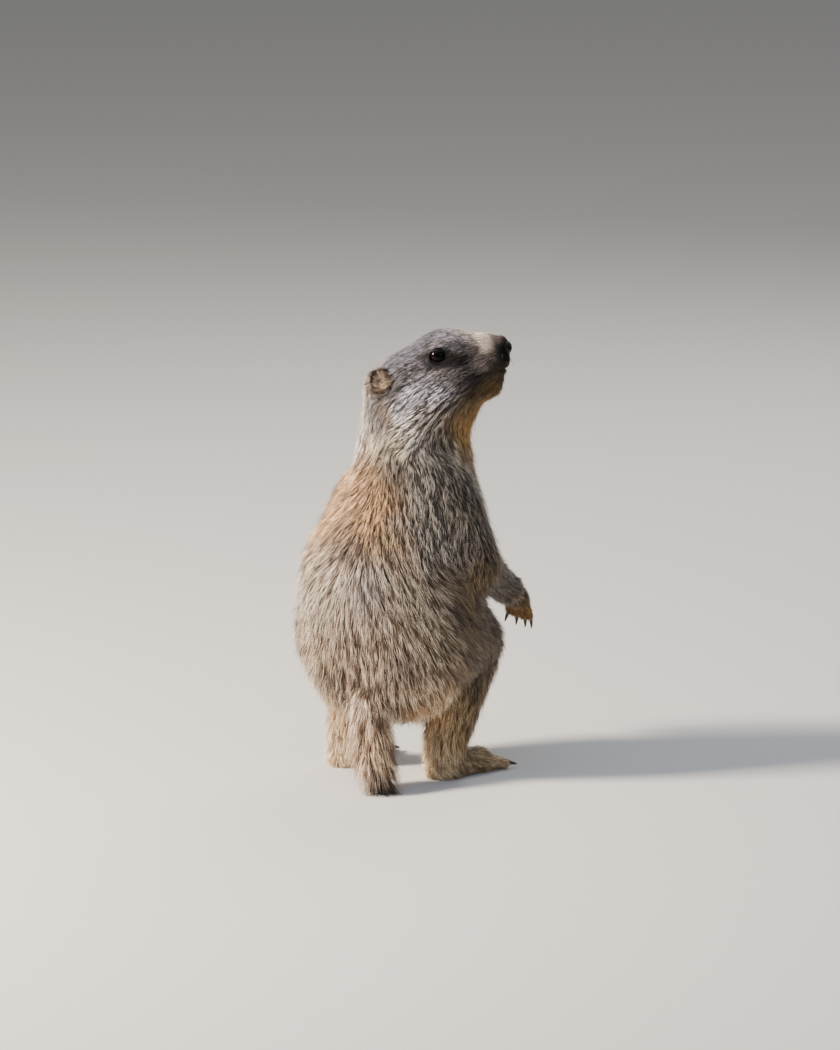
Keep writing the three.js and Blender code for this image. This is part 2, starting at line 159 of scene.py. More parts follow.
# %% [markdown]
# An alpine marmot is slate grey on the head and brown on the body, with pale tips to its guard hairs.
# So each part of the coat has two colours, its own and that of the tips. They are kept by name, and a
# change to one value changes the whole part.

# %% Colours of the coat
GREY = {
    "crown": ("#212128", "#8b8995"), "bridge": ("#7d7067", "#d9cbbc"), "muzzle": ("#1c1817", "#403937"),
    "lip": ("#1d1817", "#3b3432"), "chin": ("#2f2822", "#76694f"), "cheek": ("#403d43", "#f6f4ff"),
    "nape": ("#5f534b", "#fff1de"), "temple": ("#1f1c1d", "#676163"), "jaw": ("#2c241b", "#75664a"),
    # the last pair is painted shade: the dark of the fold between the back and the right arm
    "collar": ("#685942", "#fff5d4"), "groove_shade": ("#34302e", "#94897f"),
}
BROWN = {
    "throat": ("#835d22", "#e3b368"), "ruff": ("#49423a", "#e0d6c8"), "shoulder": ("#76502b", "#fcd09a"),
    "saddle": ("#402d1f", "#bd9974"), "back": ("#836a56", "#fff6e6"), "rump": ("#6d543f", "#f9e2c7"),
    "flank": ("#574736", "#f4e2c6"), "chest": ("#403730", "#a5998a"), "belly": ("#5a482f", "#ae9066"),
    "thigh": ("#33281c", "#917c60"), "arm": ("#362a1f", "#8b765c"), "paw": ("#72552f", "#b3905f"),
    "elbow": ("#3b2c1a", "#9a7b48"), "shank": ("#57452f", "#bfa47c"), "foot": ("#a98a66", "#ecd2aa"),
    "breeches": ("#dca468", "#fff0c6"),
}
COLOURS = {name: [linear(c) for c in pair] for name, pair in (GREY | BROWN).items()}
print("colours", len(COLOURS))

# %% [markdown]
# The coat is planned as a furrier would brush a skin: a list of strokes, each laid from one place to
# another. A stroke gives the lie of the hair near it, its length, its colour and the colour of its
# tips. Every point of the skin takes a soft mix of the strokes about it, and skin and tufts read the
# same list, so the markings agree.

# %% The strokes of the coat
# frame, start, end, reach, hair length, lift in degrees, colour; "both" strokes are mirrored
STROKES = [
    ("head", (42, 0, -6), (26, 0, 7), 9, 2.6, 16, "bridge"),
    ("head", (24, 0, 8), (2, 0, 17), 13, 4.0, 17, "crown"),
    ("head", (0, 0, 17), (-50, 0, 9), 18, 6.0, 18, "crown"),
    ("head", (-58, 0, 4), (-74, 0, -24), 16, 9.0, 20, "nape"),
    ("both head", (40, 9, -14), (16, 17, -12), 8, 2.6, 16, "muzzle"),
    ("both head", (42, 9, -27), (12, 17, -24), 6, 2.8, 20, "lip"),
    ("head", (40, 0, -34), (24, 0, -45), 7, 3.6, 22, "chin"),
    ("both head", (34, 8, -35), (8, 16, -34), 7, 3.6, 22, "chin"),
    ("both head", (24, 14, -38), (2, 22, -44), 9, 6.0, 22, "jaw"),
    ("both head", (-4, 28, -40), (-26, 34, -48), 8, 8.5, 24, "jaw"),
    ("head", (22, 0, -48), (2, 0, -66), 16, 9.0, 26, "throat"),
    ("both head", (4, 20, -52), (-8, 24, -66), 11, 9.5, 28, "throat"),
    ("both head", (14, 18, -13), (-12, 26, -15), 12, 4.5, 18, "temple"),
    ("both head", (20, 17, -24), (-2, 26, -28), 10, 5.0, 20, "temple"),
    ("both head", (-10, 24, -2), (-30, 27, -4), 9, 6.0, 20, "temple"),
    ("both head", (-28, 25, 3), (-40, 28, 0), 7, 12.5, 36, "temple"),
    ("both head", (0, 19, 9), (-44, 24, 7), 12, 5.0, 17, "crown"),
    ("both head", (-16, 30, -16), (-38, 36, -23), 10, 8.0, 21, "cheek"),
    ("both head", (-34, 28, -8), (-50, 30, -12), 6, 11.0, 34, "temple"),
    ("both head", (-8, 29, -29), (-34, 37, -37), 10, 8.5, 21, "cheek"),
    ("both head", (-20, 36, -36), (-60, 38, -36), 9, 12.0, 26, "collar"),
    ("both head", (-60, 20, -10), (-68, 20, -40), 10, 9.0, 20, "nape"),
    ("hips", (46, -30, 262), (44, -34, 226), 18, 12.0, 30, "throat"),
    ("hips", (12, -44, 264), (24, -46, 244), 11, 12.0, 30, "throat"),
    ("hips", (-6, -40, 250), (14, -48, 230), 13, 11.0, 28, "ruff"),
    ("hips", (-4, 22, 270), (-16, 18, 248), 16, 11.0, 22, "nape"),
    # painted shade: a dark stroke down the fold between the back and the right arm
    ("hips", (-25, -5, 256), (-34, -16, 222), 8, 11.0, 22, "groove_shade"),
    ("hips", (-27, 12, 238), (-19, 30, 216), 15, 12.0, 22, "shoulder"),
    ("hips", (-34, 16, 208), (-39, 34, 186), 16, 13.0, 21, "shoulder"),
    ("hips", (-36, -6, 214), (-46, -10, 184), 13, 13.0, 21, "shoulder"),
    ("hips", (-20, -40, 222), (-30, -50, 178), 14, 12.0, 24, "ruff"),
    ("hips", (20, -50, 220), (0, -56, 180), 15, 12.0, 24, "ruff"),
    ("hips", (44, 12, 250), (46, 14, 205), 24, 12.0, 24, "ruff"),
    ("hips", (36, -40, 220), (30, -46, 176), 20, 12.0, 22, "ruff"),
    ("both hips", (-48, 16, 188), (-54, 28, 164), 18, 14.0, 20, "saddle"),
    ("both hips", (-54, 38, 166), (-49, 50, 130), 15, 14.0, 20, "back"),
    ("both hips", (-57, 20, 160), (-55, 32, 134), 15, 15.0, 20, "back"),
    ("hips", (-60, 0, 168), (-65, 0, 120), 16, 15.0, 20, "back"),
    ("both hips", (-52, 38, 146), (-43, 53, 114), 15, 15.0, 20, "flank"),
    ("both hips", (-54, 38, 110), (-42, 49, 72), 16, 15.0, 20, "rump"),
    ("both hips", (-60, 14, 112), (-55, 16, 66), 18, 15.0, 20, "rump"),
    ("hips", (-52, -3, 94), (-54, -6, 68), 12, 18.0, 24, "rump"),
    ("hips", (-34, 0, 66), (-28, 0, 40), 18, 19.0, 30, "rump"),
    ("both hips", (-26, 42, 62), (-14, 42, 28), 15, 17.0, 26, "breeches"),
    ("both hips", (-30, 58, 158), (2, 69, 134), 13, 14.0, 20, "thigh"),
    ("both hips", (-34, 60, 124), (-6, 71, 88), 16, 14.0, 20, "thigh"),
    ("both hips", (0, 66, 118), (30, 68, 84), 20, 13.0, 20, "thigh"),
    ("hips", (44, -8, 214), (54, 0, 158), 26, 13.0, 24, "chest"),
    ("both hips", (36, 30, 200), (44, 36, 150), 20, 13.0, 24, "chest"),
    ("hips", (56, 0, 150), (50, 0, 92), 26, 14.0, 24, "belly"),
    ("hips", (40, 0, 78), (4, 0, 52), 24, 16.0, 24, "belly"),
    ("both hips", (8, 54, 206), (8, 66, 168), 18, 12.0, 22, "arm"),
    ("both hips", (2, 68, 160), (-12, 66, 142), 10, 13.0, 28, "elbow"),
    ("both hips", (24, 63, 150), (62, 56, 134), 14, 8.0, 20, "arm"),
    ("both hips", (70, 55, 131), (98, 54, 112), 10, 3.2, 16, "paw"),
    ("both hips", (28, 60, 72), (6, 46, 26), 18, 11.0, 24, "shank"),
    ("both hips", (-6, 42, 12), (60, 50, 4), 12, 3.6, 16, "foot"),
]
print("strokes", len(STROKES))

# %% [markdown]
# A stroke marked "both" is laid on the left and mirrored to the right. The rows become arrays, because
# many thousands of points are compared with all the strokes at once, which a loop does too slowly.

# %% The strokes as arrays


def expanded(strokes):
    rows = []
    for where, start, end, *rest in strokes:
        place = from_head if where.endswith("head") else from_hips
        for side in ((1, -1) if where.startswith("both") else (1,)):
            flip = np.array([1, side, 1])
            rows.append((place(*(np.array(start) * flip)), place(*(np.array(end) * flip)), *rest))
    return rows


rows = expanded(STROKES)
STARTS = np.array([r[0] for r in rows])
ENDS = np.array([r[1] for r in rows])
REACH = np.array([r[2] for r in rows], float)
LENGTHS = np.array([r[3] for r in rows], float)
LIFTS = np.radians([r[4] for r in rows])
BASES = np.array([COLOURS[r[5]][0] for r in rows])
TIPS = np.array([COLOURS[r[5]][1] for r in rows])
LIES = (ENDS - STARTS) / np.linalg.norm(ENDS - STARTS, axis=1)[:, None]
print("strokes on both sides", len(rows))

# %% [markdown]
# A point's share of each stroke falls off with its distance from the stroke's line, measured in the
# stroke's reach. The lie is then laid flat on the skin, as hair on a real animal follows its surface.

# %% Reading the strokes
BATCH = 20000  # points at a time, so that the table of shares stays small


def unit(vectors):
    return vectors / np.maximum(np.linalg.norm(vectors, axis=-1, keepdims=True), 1e-9)


def laid_flat(lie, normals):
    return unit(lie - normals * (lie * normals).sum(1, keepdims=True))


def shares(points):
    along = ENDS - STARTS
    t = np.einsum("prk,rk->pr", points[:, None] - STARTS[None], along) / (along ** 2).sum(1)
    near = STARTS[None] + np.clip(t, 0, 1)[..., None] * along[None]
    distance = np.linalg.norm(points[:, None] - near, axis=2) / REACH
    power = -distance ** 2
    weight = np.exp(power - power.max(1, keepdims=True))
    return weight / weight.sum(1, keepdims=True)


def coat_at(points, normals):
    parts = {"lie": [], "length": [], "lift": [], "base": [], "tip": []}
    for start in range(0, len(points), BATCH):
        w = shares(points[start:start + BATCH])
        for key, table in zip(parts, (LIES, LENGTHS, LIFTS, BASES, TIPS)):
            parts[key].append(w @ table)
    coat = {key: np.concatenate(value) for key, value in parts.items()}
    coat["lie"] = laid_flat(coat["lie"], normals)
    return coat


print("reach of a stroke", REACH.min(), "to", REACH.max(), "mm")

# %% [markdown]
# Small markings lie over the strokes: the dark rim of the eye and the patch before it, the pale brow,
# the black round the nose and mouth, with a painted shadow along the line of the mouth, the brown
# stripe that runs from the ear down the neck, with the pale fringe behind it, a painted shadow in the
# fold between the back and the right arm, the darker and paler patches of the back, the dark wrist
# and the tan heel. Each is a soft egg of colour. Those of the face lie a little forward of what they
# colour, because the tips that are seen lie behind their roots.

# %% Small markings
# frame, centre, radii, softness, colour, tip colour, strength
MARKS = [
    ("both head", (2, 21, -1.5), (10.5, 9, 7.4), 0.25, "#080706", "#100d0c", 1.0),
    ("both head", (9, 20, -7), (8, 10, 5), 0.35, "#080706", "#0e0b0a", 1.0),
    ("both head", (15, 19, -11.5), (7, 10, 4.2), 0.4, "#0c0a09", "#171312", 0.95),
    ("both head", (-8, 20, 4.5), (4.0, 8, 2.4), 0.5, "#14100f", "#221c1a", 0.9),
    ("both head", (2, 18, 8.2), (8, 9, 1.6), 0.6, "#5d544e", "#a99e95", 0.5),
    ("both head", (-4, 20, -11), (6, 8, 1.8), 0.5, "#5f5650", "#b5aaa1", 0.5),
    ("head", (37, 0, -1), (7, 16, 6), 0.65, "#a39484", "#d8cab8", 0.75),
    ("both head", (35, 10, -8), (4.5, 8, 8), 0.6, "#94877c", "#c9bcae", 0.7),
    ("head", (46, 0, -8), (7, 12, 6.5), 0.45, "#3d3334", "#665a58", 0.95),
    ("head", (45, 0, -19.5), (9, 14, 8), 0.4, "#0d0a09", "#171211", 1.0),
    ("head", (41, 0, -30), (9, 12, 3.2), 0.5, "#1f1918", "#342c2a", 0.9),
    ("head", (37, 0, -37), (8, 12, 4.5), 0.5, "#312a2b", "#544b4c", 0.8),
    # painted shadow: a thin dark line along the closed mouth, under the upper lip
    ("both head", (24, 15, -27.5), (18, 8, 1.6), 0.8, "#2a2321", "#423937", 0.7),
    ("both head", (-33, 26, -6), (5, 12, 10), 0.5, "#252022", "#5d5658", 0.8),
    ("both head", (-46, 32, -20), (4.5, 14, 15), 0.5, "#4c382d", "#876b5c", 0.9),
    ("both head", (-58, 25, -12), (6, 14, 16), 0.5, "#35302f", "#8b8480", 0.9),
    ("both head", (-68, 14, -16), (5, 14, 18), 0.6, "#958b82", "#f6eee2", 0.7),
    # painted shade: the shadow of that fold, carried on lower down the back
    ("hips", (-40, -23, 200), (10, 9, 15), 0.6, "#373230", "#a59c96", 0.7),
    ("hips", (-46, -20, 187), (9, 6, 9), 0.6, "#7d6843", "#d3c193", 0.6),
    ("hips", (-58, 4, 172), (12, 10, 7), 0.7, "#453328", "#b39a85", 0.6),
    ("hips", (-60, -12, 150), (14, 12, 16), 0.8, "#4b4145", "#d8c9cb", 0.6),
    ("hips", (-54, -36, 97), (14, 12, 14), 0.7, "#382f2a", "#9f9085", 0.75),
    ("hips", (-56, 27, 84), (14, 8, 12), 0.7, "#4b3a2d", "#b39a7f", 0.6),
    ("both hips", (76, 55, 130), (9, 14, 11), 0.5, "#211a15", "#3f342b", 0.85),
    ("both hips", (-14, 42, 22), (14, 12, 20), 0.7, "#d2b086", "#ffeccb", 0.85),
]
MARK_ROWS = []
for where, centre, radii, soft, base, tip, strength in MARKS:
    for side in ((1, -1) if where.startswith("both") else (1,)):
        flipped = np.array(centre) * (1, side, 1)
        colours = (np.array(linear(base)), np.array(linear(tip)))
        MARK_ROWS.append((where.endswith("head"), flipped, np.array(radii), soft, *colours, strength))


def ease(x, low, high):
    t = np.clip((x - low) / (high - low), 0, 1)
    return t * t * (3 - 2 * t)


def mixed(one, other, share):
    return one * (1 - share[:, None]) + other * share[:, None]


def marked(points, coat):
    local = {True: on_head(points), False: points - HIPS}
    for in_head, centre, radii, soft, base, tip, strength in MARK_ROWS:
        distance = np.linalg.norm((local[in_head] - centre) / radii, axis=1)
        amount = strength * (1 - ease(distance, 1 - soft, 1 + soft))
        coat["base"] = mixed(coat["base"], base, amount)
        coat["tip"] = mixed(coat["tip"], tip, amount)
    return coat


print("marks", len(MARK_ROWS))

# %% [markdown]
# The solids' meshes are loose triangles, so a copy is merged before it is worked on, and the solid is
# left alone. Modifiers are applied as soon as they are set, so that later cells read the true points.

# %% Copies of the solids


def merged_copy(node, swell):
    bm = bmesh.new()
    bm.from_mesh(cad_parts[node].data)
    bmesh.ops.remove_doubles(bm, verts=bm.verts, dist=1e-6)
    bm.normal_update()
    for vert in bm.verts:
        vert.co += vert.normal * swell * MM
    return bm


def to_object(bm, name):
    mesh = bpy.data.meshes.new(name)
    bm.to_mesh(mesh)
    bm.free()
    piece = bpy.data.objects.new(name, mesh)
    bpy.context.scene.collection.objects.link(piece)
    return piece


def applied(piece):
    """The piece's mesh with its modifiers applied, in place of them."""
    evaluated = piece.evaluated_get(bpy.context.evaluated_depsgraph_get())
    mesh = bpy.data.meshes.new_from_object(evaluated)
    piece.modifiers.clear()
    piece.data = mesh
    return piece


def smooth_shaded(piece):
    piece.data.polygons.foreach_set("use_smooth", np.ones(len(piece.data.polygons), bool))


print("solids to copy", len(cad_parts))

# %% [markdown]
# The tail's solid reaches out to the tips of its long hair, so the flesh in it is far thinner. Its core
# is a string of balls along a bent line, which thins to the end. The ear is placed by the middle of its
# cup and the way the cup opens, with a ball of flesh for it to stand on.

# %% The tail's core and the ear's place
TAIL_LINE = HIPS + np.array([(-44, -3, 78), (-58, -13, 52), (-66, -20, 28), (-75, -31, 11)])
TAIL_CORE = (9.5, 9.0, 7.5, 4.0)  # radius at each point of the line, mm
TAIL_BALLS = 18
EAR_OUT = unit(np.array([0.5, 0.84, 0.16]))
EAR_PLACE = np.array([-45.5, 21.5, 1.0])
EAR_FOOT_DEPTH = 13
EAR_FOOT_RADIUS = 9


def tail_point(t):
    """A point along the tail's line, from 0 at the root to 1 at the end of the core."""
    place = t * (len(TAIL_LINE) - 1)
    i = int(min(place, len(TAIL_LINE) - 2))
    return TAIL_LINE[i] + (TAIL_LINE[i + 1] - TAIL_LINE[i]) * (place - i)


def core_radius(t):
    return np.interp(t, np.linspace(0, 1, len(TAIL_CORE)), TAIL_CORE)


def add_ball(bm, centre, radius):
    place = Matrix.Translation(Vector(centre * MM))
    bmesh.ops.create_icosphere(bm, subdivisions=3, radius=radius * MM, matrix=place)


print("tail's core", round(float(np.linalg.norm(np.diff(TAIL_LINE, axis=0), axis=1).sum()), 1), "mm long")

# %% [markdown]
# The skin is one surface with no seams. It starts from copies of the body's solids, merged and swollen
# by a hair's breadth so that they close on one another, and from the balls of tail and ears. A voxel
# remesh turns them into one even mesh. Sculpting it by hand would lose the frame's places.

# %% Body under the coat
FLESH = ["head", "lower_jaw", "nose", "neck", "chest", "belly_and_rump"]
FLESH += [f"{name}_{side}" for name in (
    "upper_arm", "forearm", "forepaw", "thigh", "shank", "hind_foot") for side in SIDES]
SWELL = 0.35
VOXEL = 1.5
body = bmesh.new()
for node in FLESH:
    part = merged_copy(node, SWELL)
    mesh = bpy.data.meshes.new("part")
    part.to_mesh(mesh)
    part.free()
    body.from_mesh(mesh)
    bpy.data.meshes.remove(mesh)
for t in np.linspace(0, 1, TAIL_BALLS):
    add_ball(body, tail_point(t), core_radius(t))
for sign in SIDES.values():
    add_ball(body, from_head(*((EAR_PLACE - EAR_OUT * EAR_FOOT_DEPTH) * (1, sign, 1))), EAR_FOOT_RADIUS)
skin = to_object(body, "skin")
remesh = skin.modifiers.new("even mesh", "REMESH")
remesh.mode = "VOXEL"
remesh.voxel_size = VOXEL * MM
applied(skin)
print("skin", len(skin.data.polygons), "faces")

# %% [markdown]
# The solids reach out to the tips of the coat, so the skin sinks below them by the coat's depth. That
# is about a third of the hair's length on the body, and next to nothing on the face and the feet. It
# sinks in small steps with smoothing between, so that folds stay clean.

# %% Sink the skin
DEPTH_SHARE = 0.33
SHORTEST = 2.4  # mm of hair that take no depth
LEAST_DEPTH, MOST_DEPTH = 0.25, 6
SINK_STEPS = 5
EYE_OUT = 16.5  # mm from the middle of the head to an eye
# mm between which the depth grows from nothing to the whole: from the eye, the tail's core, the floor
NEAR_EYE, NEAR_TAIL, NEAR_FLOOR = (7, 16), (14, 26), (1, 14)


def arrays_of(mesh):
    points = np.empty(len(mesh.vertices) * 3)
    mesh.vertices.foreach_get("co", points)
    normals = np.empty(len(mesh.vertices) * 3)
    mesh.vertices.foreach_get("normal", normals)
    return points.reshape(-1, 3) / MM, normals.reshape(-1, 3)


def coat_depth(points, normals):
    length = coat_at(points, normals)["length"]
    depth = np.clip((length - SHORTEST) * DEPTH_SHARE, LEAST_DEPTH, MOST_DEPTH)
    for sign in SIDES.values():
        eye = np.linalg.norm(on_head(points) - (0, sign * EYE_OUT, 0), axis=1)
        depth *= ease(eye, *NEAR_EYE)
    tail = np.linalg.norm(points[:, None] - TAIL_LINE[None, 1:], axis=2).min(1)
    depth *= ease(tail, *NEAR_TAIL)
    return depth * ease(points[:, 2], *NEAR_FLOOR)


bm = bmesh.new()
bm.from_mesh(skin.data)
for step in range(SINK_STEPS):
    bmesh.ops.smooth_vert(bm, verts=bm.verts, factor=0.5, use_axis_x=True, use_axis_y=True, use_axis_z=True)
    bm.normal_update()
    points = np.array([v.co for v in bm.verts]) / MM
    normals = np.array([v.normal for v in bm.verts])
    if step == 0:
        depth = coat_depth(points, normals)
    moved = (points - normals * (depth / SINK_STEPS)[:, None]) * MM
    for vert, place in zip(bm.verts, moved):
        vert.co = place
bm.to_mesh(skin.data)
bm.free()
skin.data.update()
print("skin sunk by", depth.min().round(2), "to", depth.max().round(2), "mm")

# %% [markdown]
# The mouth is closed. Its line runs back from the front of the muzzle, and a short furrow joins it to
# the nose. Both are narrower than a face of the skin, so the skin is divided more finely there first,
# and the points near each line are then pressed in.

# %% Mouth and the furrow under the nose
MOUTH = np.array([(60, -31.4), (41, -31), (26, -28), (15, -25), (8, -26)])
MOUTH_REACH = 1.7
MOUTH_DEPTH = 1.5
MOUTH_CORNER = 7  # the line ends at this place on the head's X axis
FURROW_WIDTH = 1.0
FURROW_DEPTH = 1.1
FURROW_FRONT, FURROW_TOP, FURROW_FOOT = 36, -18, -31


def from_mouth(local):
    """Distance from the line of the mouth, seen from the side."""
    nearest = np.full(len(local), 99.0)
    flat = local[:, [0, 2]]
    for start, end in zip(MOUTH[:-1], MOUTH[1:]):
        along = end - start
        t = np.clip((flat - start) @ along / (along @ along), 0, 1)
        nearest = np.minimum(nearest, np.linalg.norm(flat - start - t[:, None] * along, axis=1))
    return nearest


bm = bmesh.new()
bm.from_mesh(skin.data)
local = on_head(np.array([v.co for v in bm.verts]) / MM)
fine = (local[:, 0] > MOUTH_CORNER - 3) & (from_mouth(local) < 5)
fine |= (local[:, 0] > FURROW_FRONT - 2) & (np.abs(local[:, 1]) < 4) & (local[:, 2] < FURROW_TOP)
edges = [e for e in bm.edges if fine[e.verts[0].index] and fine[e.verts[1].index]]
bmesh.ops.subdivide_edges(bm, edges=edges, cuts=1, use_grid_fill=True)
bm.normal_update()
bm.verts.index_update()
local = on_head(np.array([v.co for v in bm.verts]) / MM)
press = MOUTH_DEPTH * (1 - ease(from_mouth(local), 0, MOUTH_REACH)) * (local[:, 0] > MOUTH_CORNER)
furrow = (local[:, 0] > FURROW_FRONT) & (local[:, 2] < FURROW_TOP) & (local[:, 2] > FURROW_FOOT)
press = np.maximum(press, furrow * FURROW_DEPTH * (1 - ease(np.abs(local[:, 1]), 0, FURROW_WIDTH)))
for vert in bm.verts:
    if press[vert.index] > 0.01:
        vert.co -= vert.normal * press[vert.index] * MM
bm.to_mesh(skin.data)
bm.free()
print("mouth pressed at", int((press > 0.01).sum()), "points")

# %% [markdown]
# The bake needs one flat map of the skin that doesn't overlap. Blender's smart projection cuts the
# skin where it turns and lays the pieces side by side. A view from the camera would stretch the sides.

# %% Unwrap the skin


def unwrap(piece):
    piece.data.uv_layers.new(name="OFBake")
    bpy.context.view_layer.objects.active = piece
    bpy.ops.object.select_all(action="DESELECT")
    piece.select_set(True)
    bpy.ops.object.mode_set(mode="EDIT")
    bpy.ops.mesh.select_all(action="SELECT")
    bpy.ops.uv.smart_project(angle_limit=math.radians(66), island_margin=0.001)
    bpy.ops.object.mode_set(mode="OBJECT")


smooth_shaded(skin)
unwrap(skin)
print("skin unwrapped at", len(skin.data.loops), "corners")

# %% [markdown]
# A marmot's ear is a small rounded cup of thin gristle, and its claws are blunt curved horn. The solids
# have the right places and forms, so merged copies are made smooth with a subdivision surface.

# %% Ears and claws
SMOOTHING = 2


def smooth_copy(node, name, swell):
    piece = to_object(merged_copy(node, swell), name)
    finer = piece.modifiers.new("smooth", "SUBSURF")
    finer.levels = finer.render_levels = SMOOTHING
    applied(piece)
    smooth_shaded(piece)
    return piece


ears = {side: smooth_copy(f"ear_{side}", f"ear_cup_{side}", 0.3) for side in SIDES}
for ear in ears.values():
    unwrap(ear)
claws = []
for node in sorted(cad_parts):
    if "_claw_" in node:
        claws.append((node, smooth_copy(node, "horn_" + node, 0.25)))
print("ears", len(ears), "claws", len(claws))

# %% [markdown]
# The eye is nearly all iris, very dark brown, with a round pupil that hardly shows in it. It is a ball
# with a finer mesh than the solid's, and a value at each point says how far it is from the pupil's
# middle.

# %% Eyes
EYE_RADIUS = 6.5
EYE_SLANT = math.radians(33)  # the front corner lies lower than the rear one
GAZE = {side: unit(np.array([0.05, sign, -0.12])) for side, sign in SIDES.items()}


def eye_frame(side):
    """From the eye's own axes, with Z along the gaze and X towards the nose, to the frame."""
    out = Vector(GAZE[side] @ HEAD_AXES)
    slanted = Vector(np.array([math.cos(EYE_SLANT), 0, -math.sin(EYE_SLANT)]) @ HEAD_AXES)
    forward = (slanted - out * slanted.dot(out)).normalized()
    turned = Matrix((forward, out.cross(forward), out)).transposed().to_4x4()
    turned.translation = eye_places[side]
    return turned


eyes = {}
for side in SIDES:
    bm = bmesh.new()
    bmesh.ops.create_uvsphere(
        bm, u_segments=48, v_segments=32, radius=EYE_RADIUS * MM, matrix=eye_frame(side))
    ball = to_object(bm, f"eyeball_{side}")
    from_pupil = ball.data.attributes.new("from_pupil", "FLOAT", "POINT")
    gaze = Vector(GAZE[side] @ HEAD_AXES)
    from_pupil.data.foreach_set("value", [
        (v.co - eye_places[side]).angle(gaze) / math.pi for v in ball.data.vertices])
    smooth_shaded(ball)
    eyes[side] = ball
print("eyes", len(eyes), "of", 2 * EYE_RADIUS, "mm")

# %% [markdown]
# The lids are a ring round the eye, thicker above, with a pale line painted along the lower one: a
# painted reflection on the wet edge where tears gather. A small circle is spun into a round ring, which
# is then drawn out into an almond and bent over the ball. A torus would need the same drawing out.

# %% Lids
OPENING = (6.3, 4.7)  # half length and half height of the lids' edge, mm
LID_THICKNESS = 0.8
UPPER_LID = 0.3  # share by which the upper lid is thicker
# the wet line of the lower lid carries a painted reflection
TEAR_LINE = (0.84, 0.95)  # shares of the opening between which the lower lid is wet
LOW_FROM, LOW_RISE = 0.35, 0.3  # how low on the ring the wet line starts, and over what it grows
lids = {}
for side, sign in SIDES.items():
    bm = bmesh.new()
    bmesh.ops.create_circle(bm, segments=12, radius=LID_THICKNESS * MM, matrix=(
        Matrix.Translation((OPENING[0] * MM, 0, 0)) @ Matrix.Rotation(math.pi / 2, 4, "X")))
    bmesh.ops.spin(bm, geom=bm.verts[:] + bm.edges[:], cent=(0, 0, 0), axis=(0, 0, 1), angle=2 * math.pi,
        steps=48, use_merge=True)
    bmesh.ops.remove_doubles(bm, verts=bm.verts, dist=1e-6)
    for vert in bm.verts:
        turn = math.atan2(vert.co.y, vert.co.x)
        edge = Vector((math.cos(turn), math.sin(turn) * OPENING[1] / OPENING[0], 0)) * OPENING[0]
        upper = max(-sign * math.sin(turn), 0)
        ring = Vector((math.cos(turn), math.sin(turn), 0)) * OPENING[0] * MM
        vert.co = ring + (vert.co - ring) * (1 + UPPER_LID * upper)
        vert.co.y -= math.sin(turn) * (OPENING[0] - OPENING[1]) * MM
        vert.co.z += math.sqrt(max(EYE_RADIUS ** 2 - edge.length_squared, 2.0)) * MM
    bmesh.ops.transform(bm, matrix=eye_frame(side), verts=bm.verts)
    bmesh.ops.recalc_face_normals(bm, faces=bm.faces)
    lids[side] = to_object(bm, f"eyelids_{side}")
    into_eye = eye_frame(side).inverted()
    # where the painted reflection on the lower lid's wet edge lies
    wet = []
    for vert in lids[side].data.vertices:
        x, y, z = into_eye @ vert.co / MM
        low = sign * y / max(math.hypot(x, y), 0.1)
        edge = math.hypot(x / OPENING[0], y / OPENING[1])
        wet.append(max(min((low - LOW_FROM) / LOW_RISE, 1), 0) * (TEAR_LINE[0] < edge < TEAR_LINE[1]))
    wet_edge_glint = lids[side].data.attributes.new("wet_edge_glint", "FLOAT", "POINT")
    wet_edge_glint.data.foreach_set("value", wet)
    smooth_shaded(lids[side])
print("eye opening", [round(2 * (half - LID_THICKNESS), 1) for half in OPENING], "mm")

# %% [markdown]
# The nose pad is bare skin, broad and low, with a comma of a nostril in each side and a crease down
# the middle. It starts as a ball of fine triangles, and the points near each form are pressed in.

# %% Nose pad
NOSE_CENTRE = np.array([43.4, 0, -17.0])
NOSE_RADII = np.array([6.2, 7.6, 6.2])
# side, height and size of the hollows that make up a nostril's comma, in shares of the nose
NOSTRIL = ((0.46, -0.36, 0.22), (0.60, -0.26, 0.20), (0.74, -0.06, 0.14))
NOSTRIL_DEPTH, CREASE_DEPTH, TOP_DEPTH = 0.30, 0.10, 0.07
bm = bmesh.new()
bmesh.ops.create_icosphere(bm, subdivisions=6, radius=1)
ball = np.array([v.co for v in bm.verts])
press = np.zeros(len(ball))
for sign in SIDES.values():
    for y, z, size in NOSTRIL:
        place = np.array([math.sqrt(max(1 - y * y - z * z, 0)), sign * y, z])
        gap = np.linalg.norm(ball - place, axis=1)
        press = np.maximum(press, (1 - ease(gap, size * 0.5, size * 1.35)) * size / 0.2)
crease = (1 - ease(np.abs(ball[:, 1]), 0, 0.09)) * ease(-ball[:, 2], -0.35, 0.2) * (ball[:, 0] > 0)
shrink = 1 - NOSTRIL_DEPTH * press - CREASE_DEPTH * crease - TOP_DEPTH * ease(ball[:, 2], 0.45, 1.0)
for vert, k in zip(bm.verts, shrink):
    place = from_head(*(NOSE_CENTRE + np.array(vert.co) * NOSE_RADII * k))
    vert.co = Vector(place * MM)
nose = to_object(bm, "nose_pad")
smooth_shaded(nose)
print("nose", len(nose.data.polygons), "faces")

# %% [markdown]
# Every hair of the coat is drawn as a tuft: a thin spike with three sides, flat to the body and bent
# over its length. Thousands of them are made at once from arrays, as a loop over bmesh would take
# minutes. The whiskers are longer spikes of the same kind, with more steps.

# %% Spikes
TAPER = 0.7  # share of its width that a spike loses before its last step
TRIANGLES = {steps: 6 * steps - 2 for steps in (1, 2, 3)}  # of a tuft with three sides


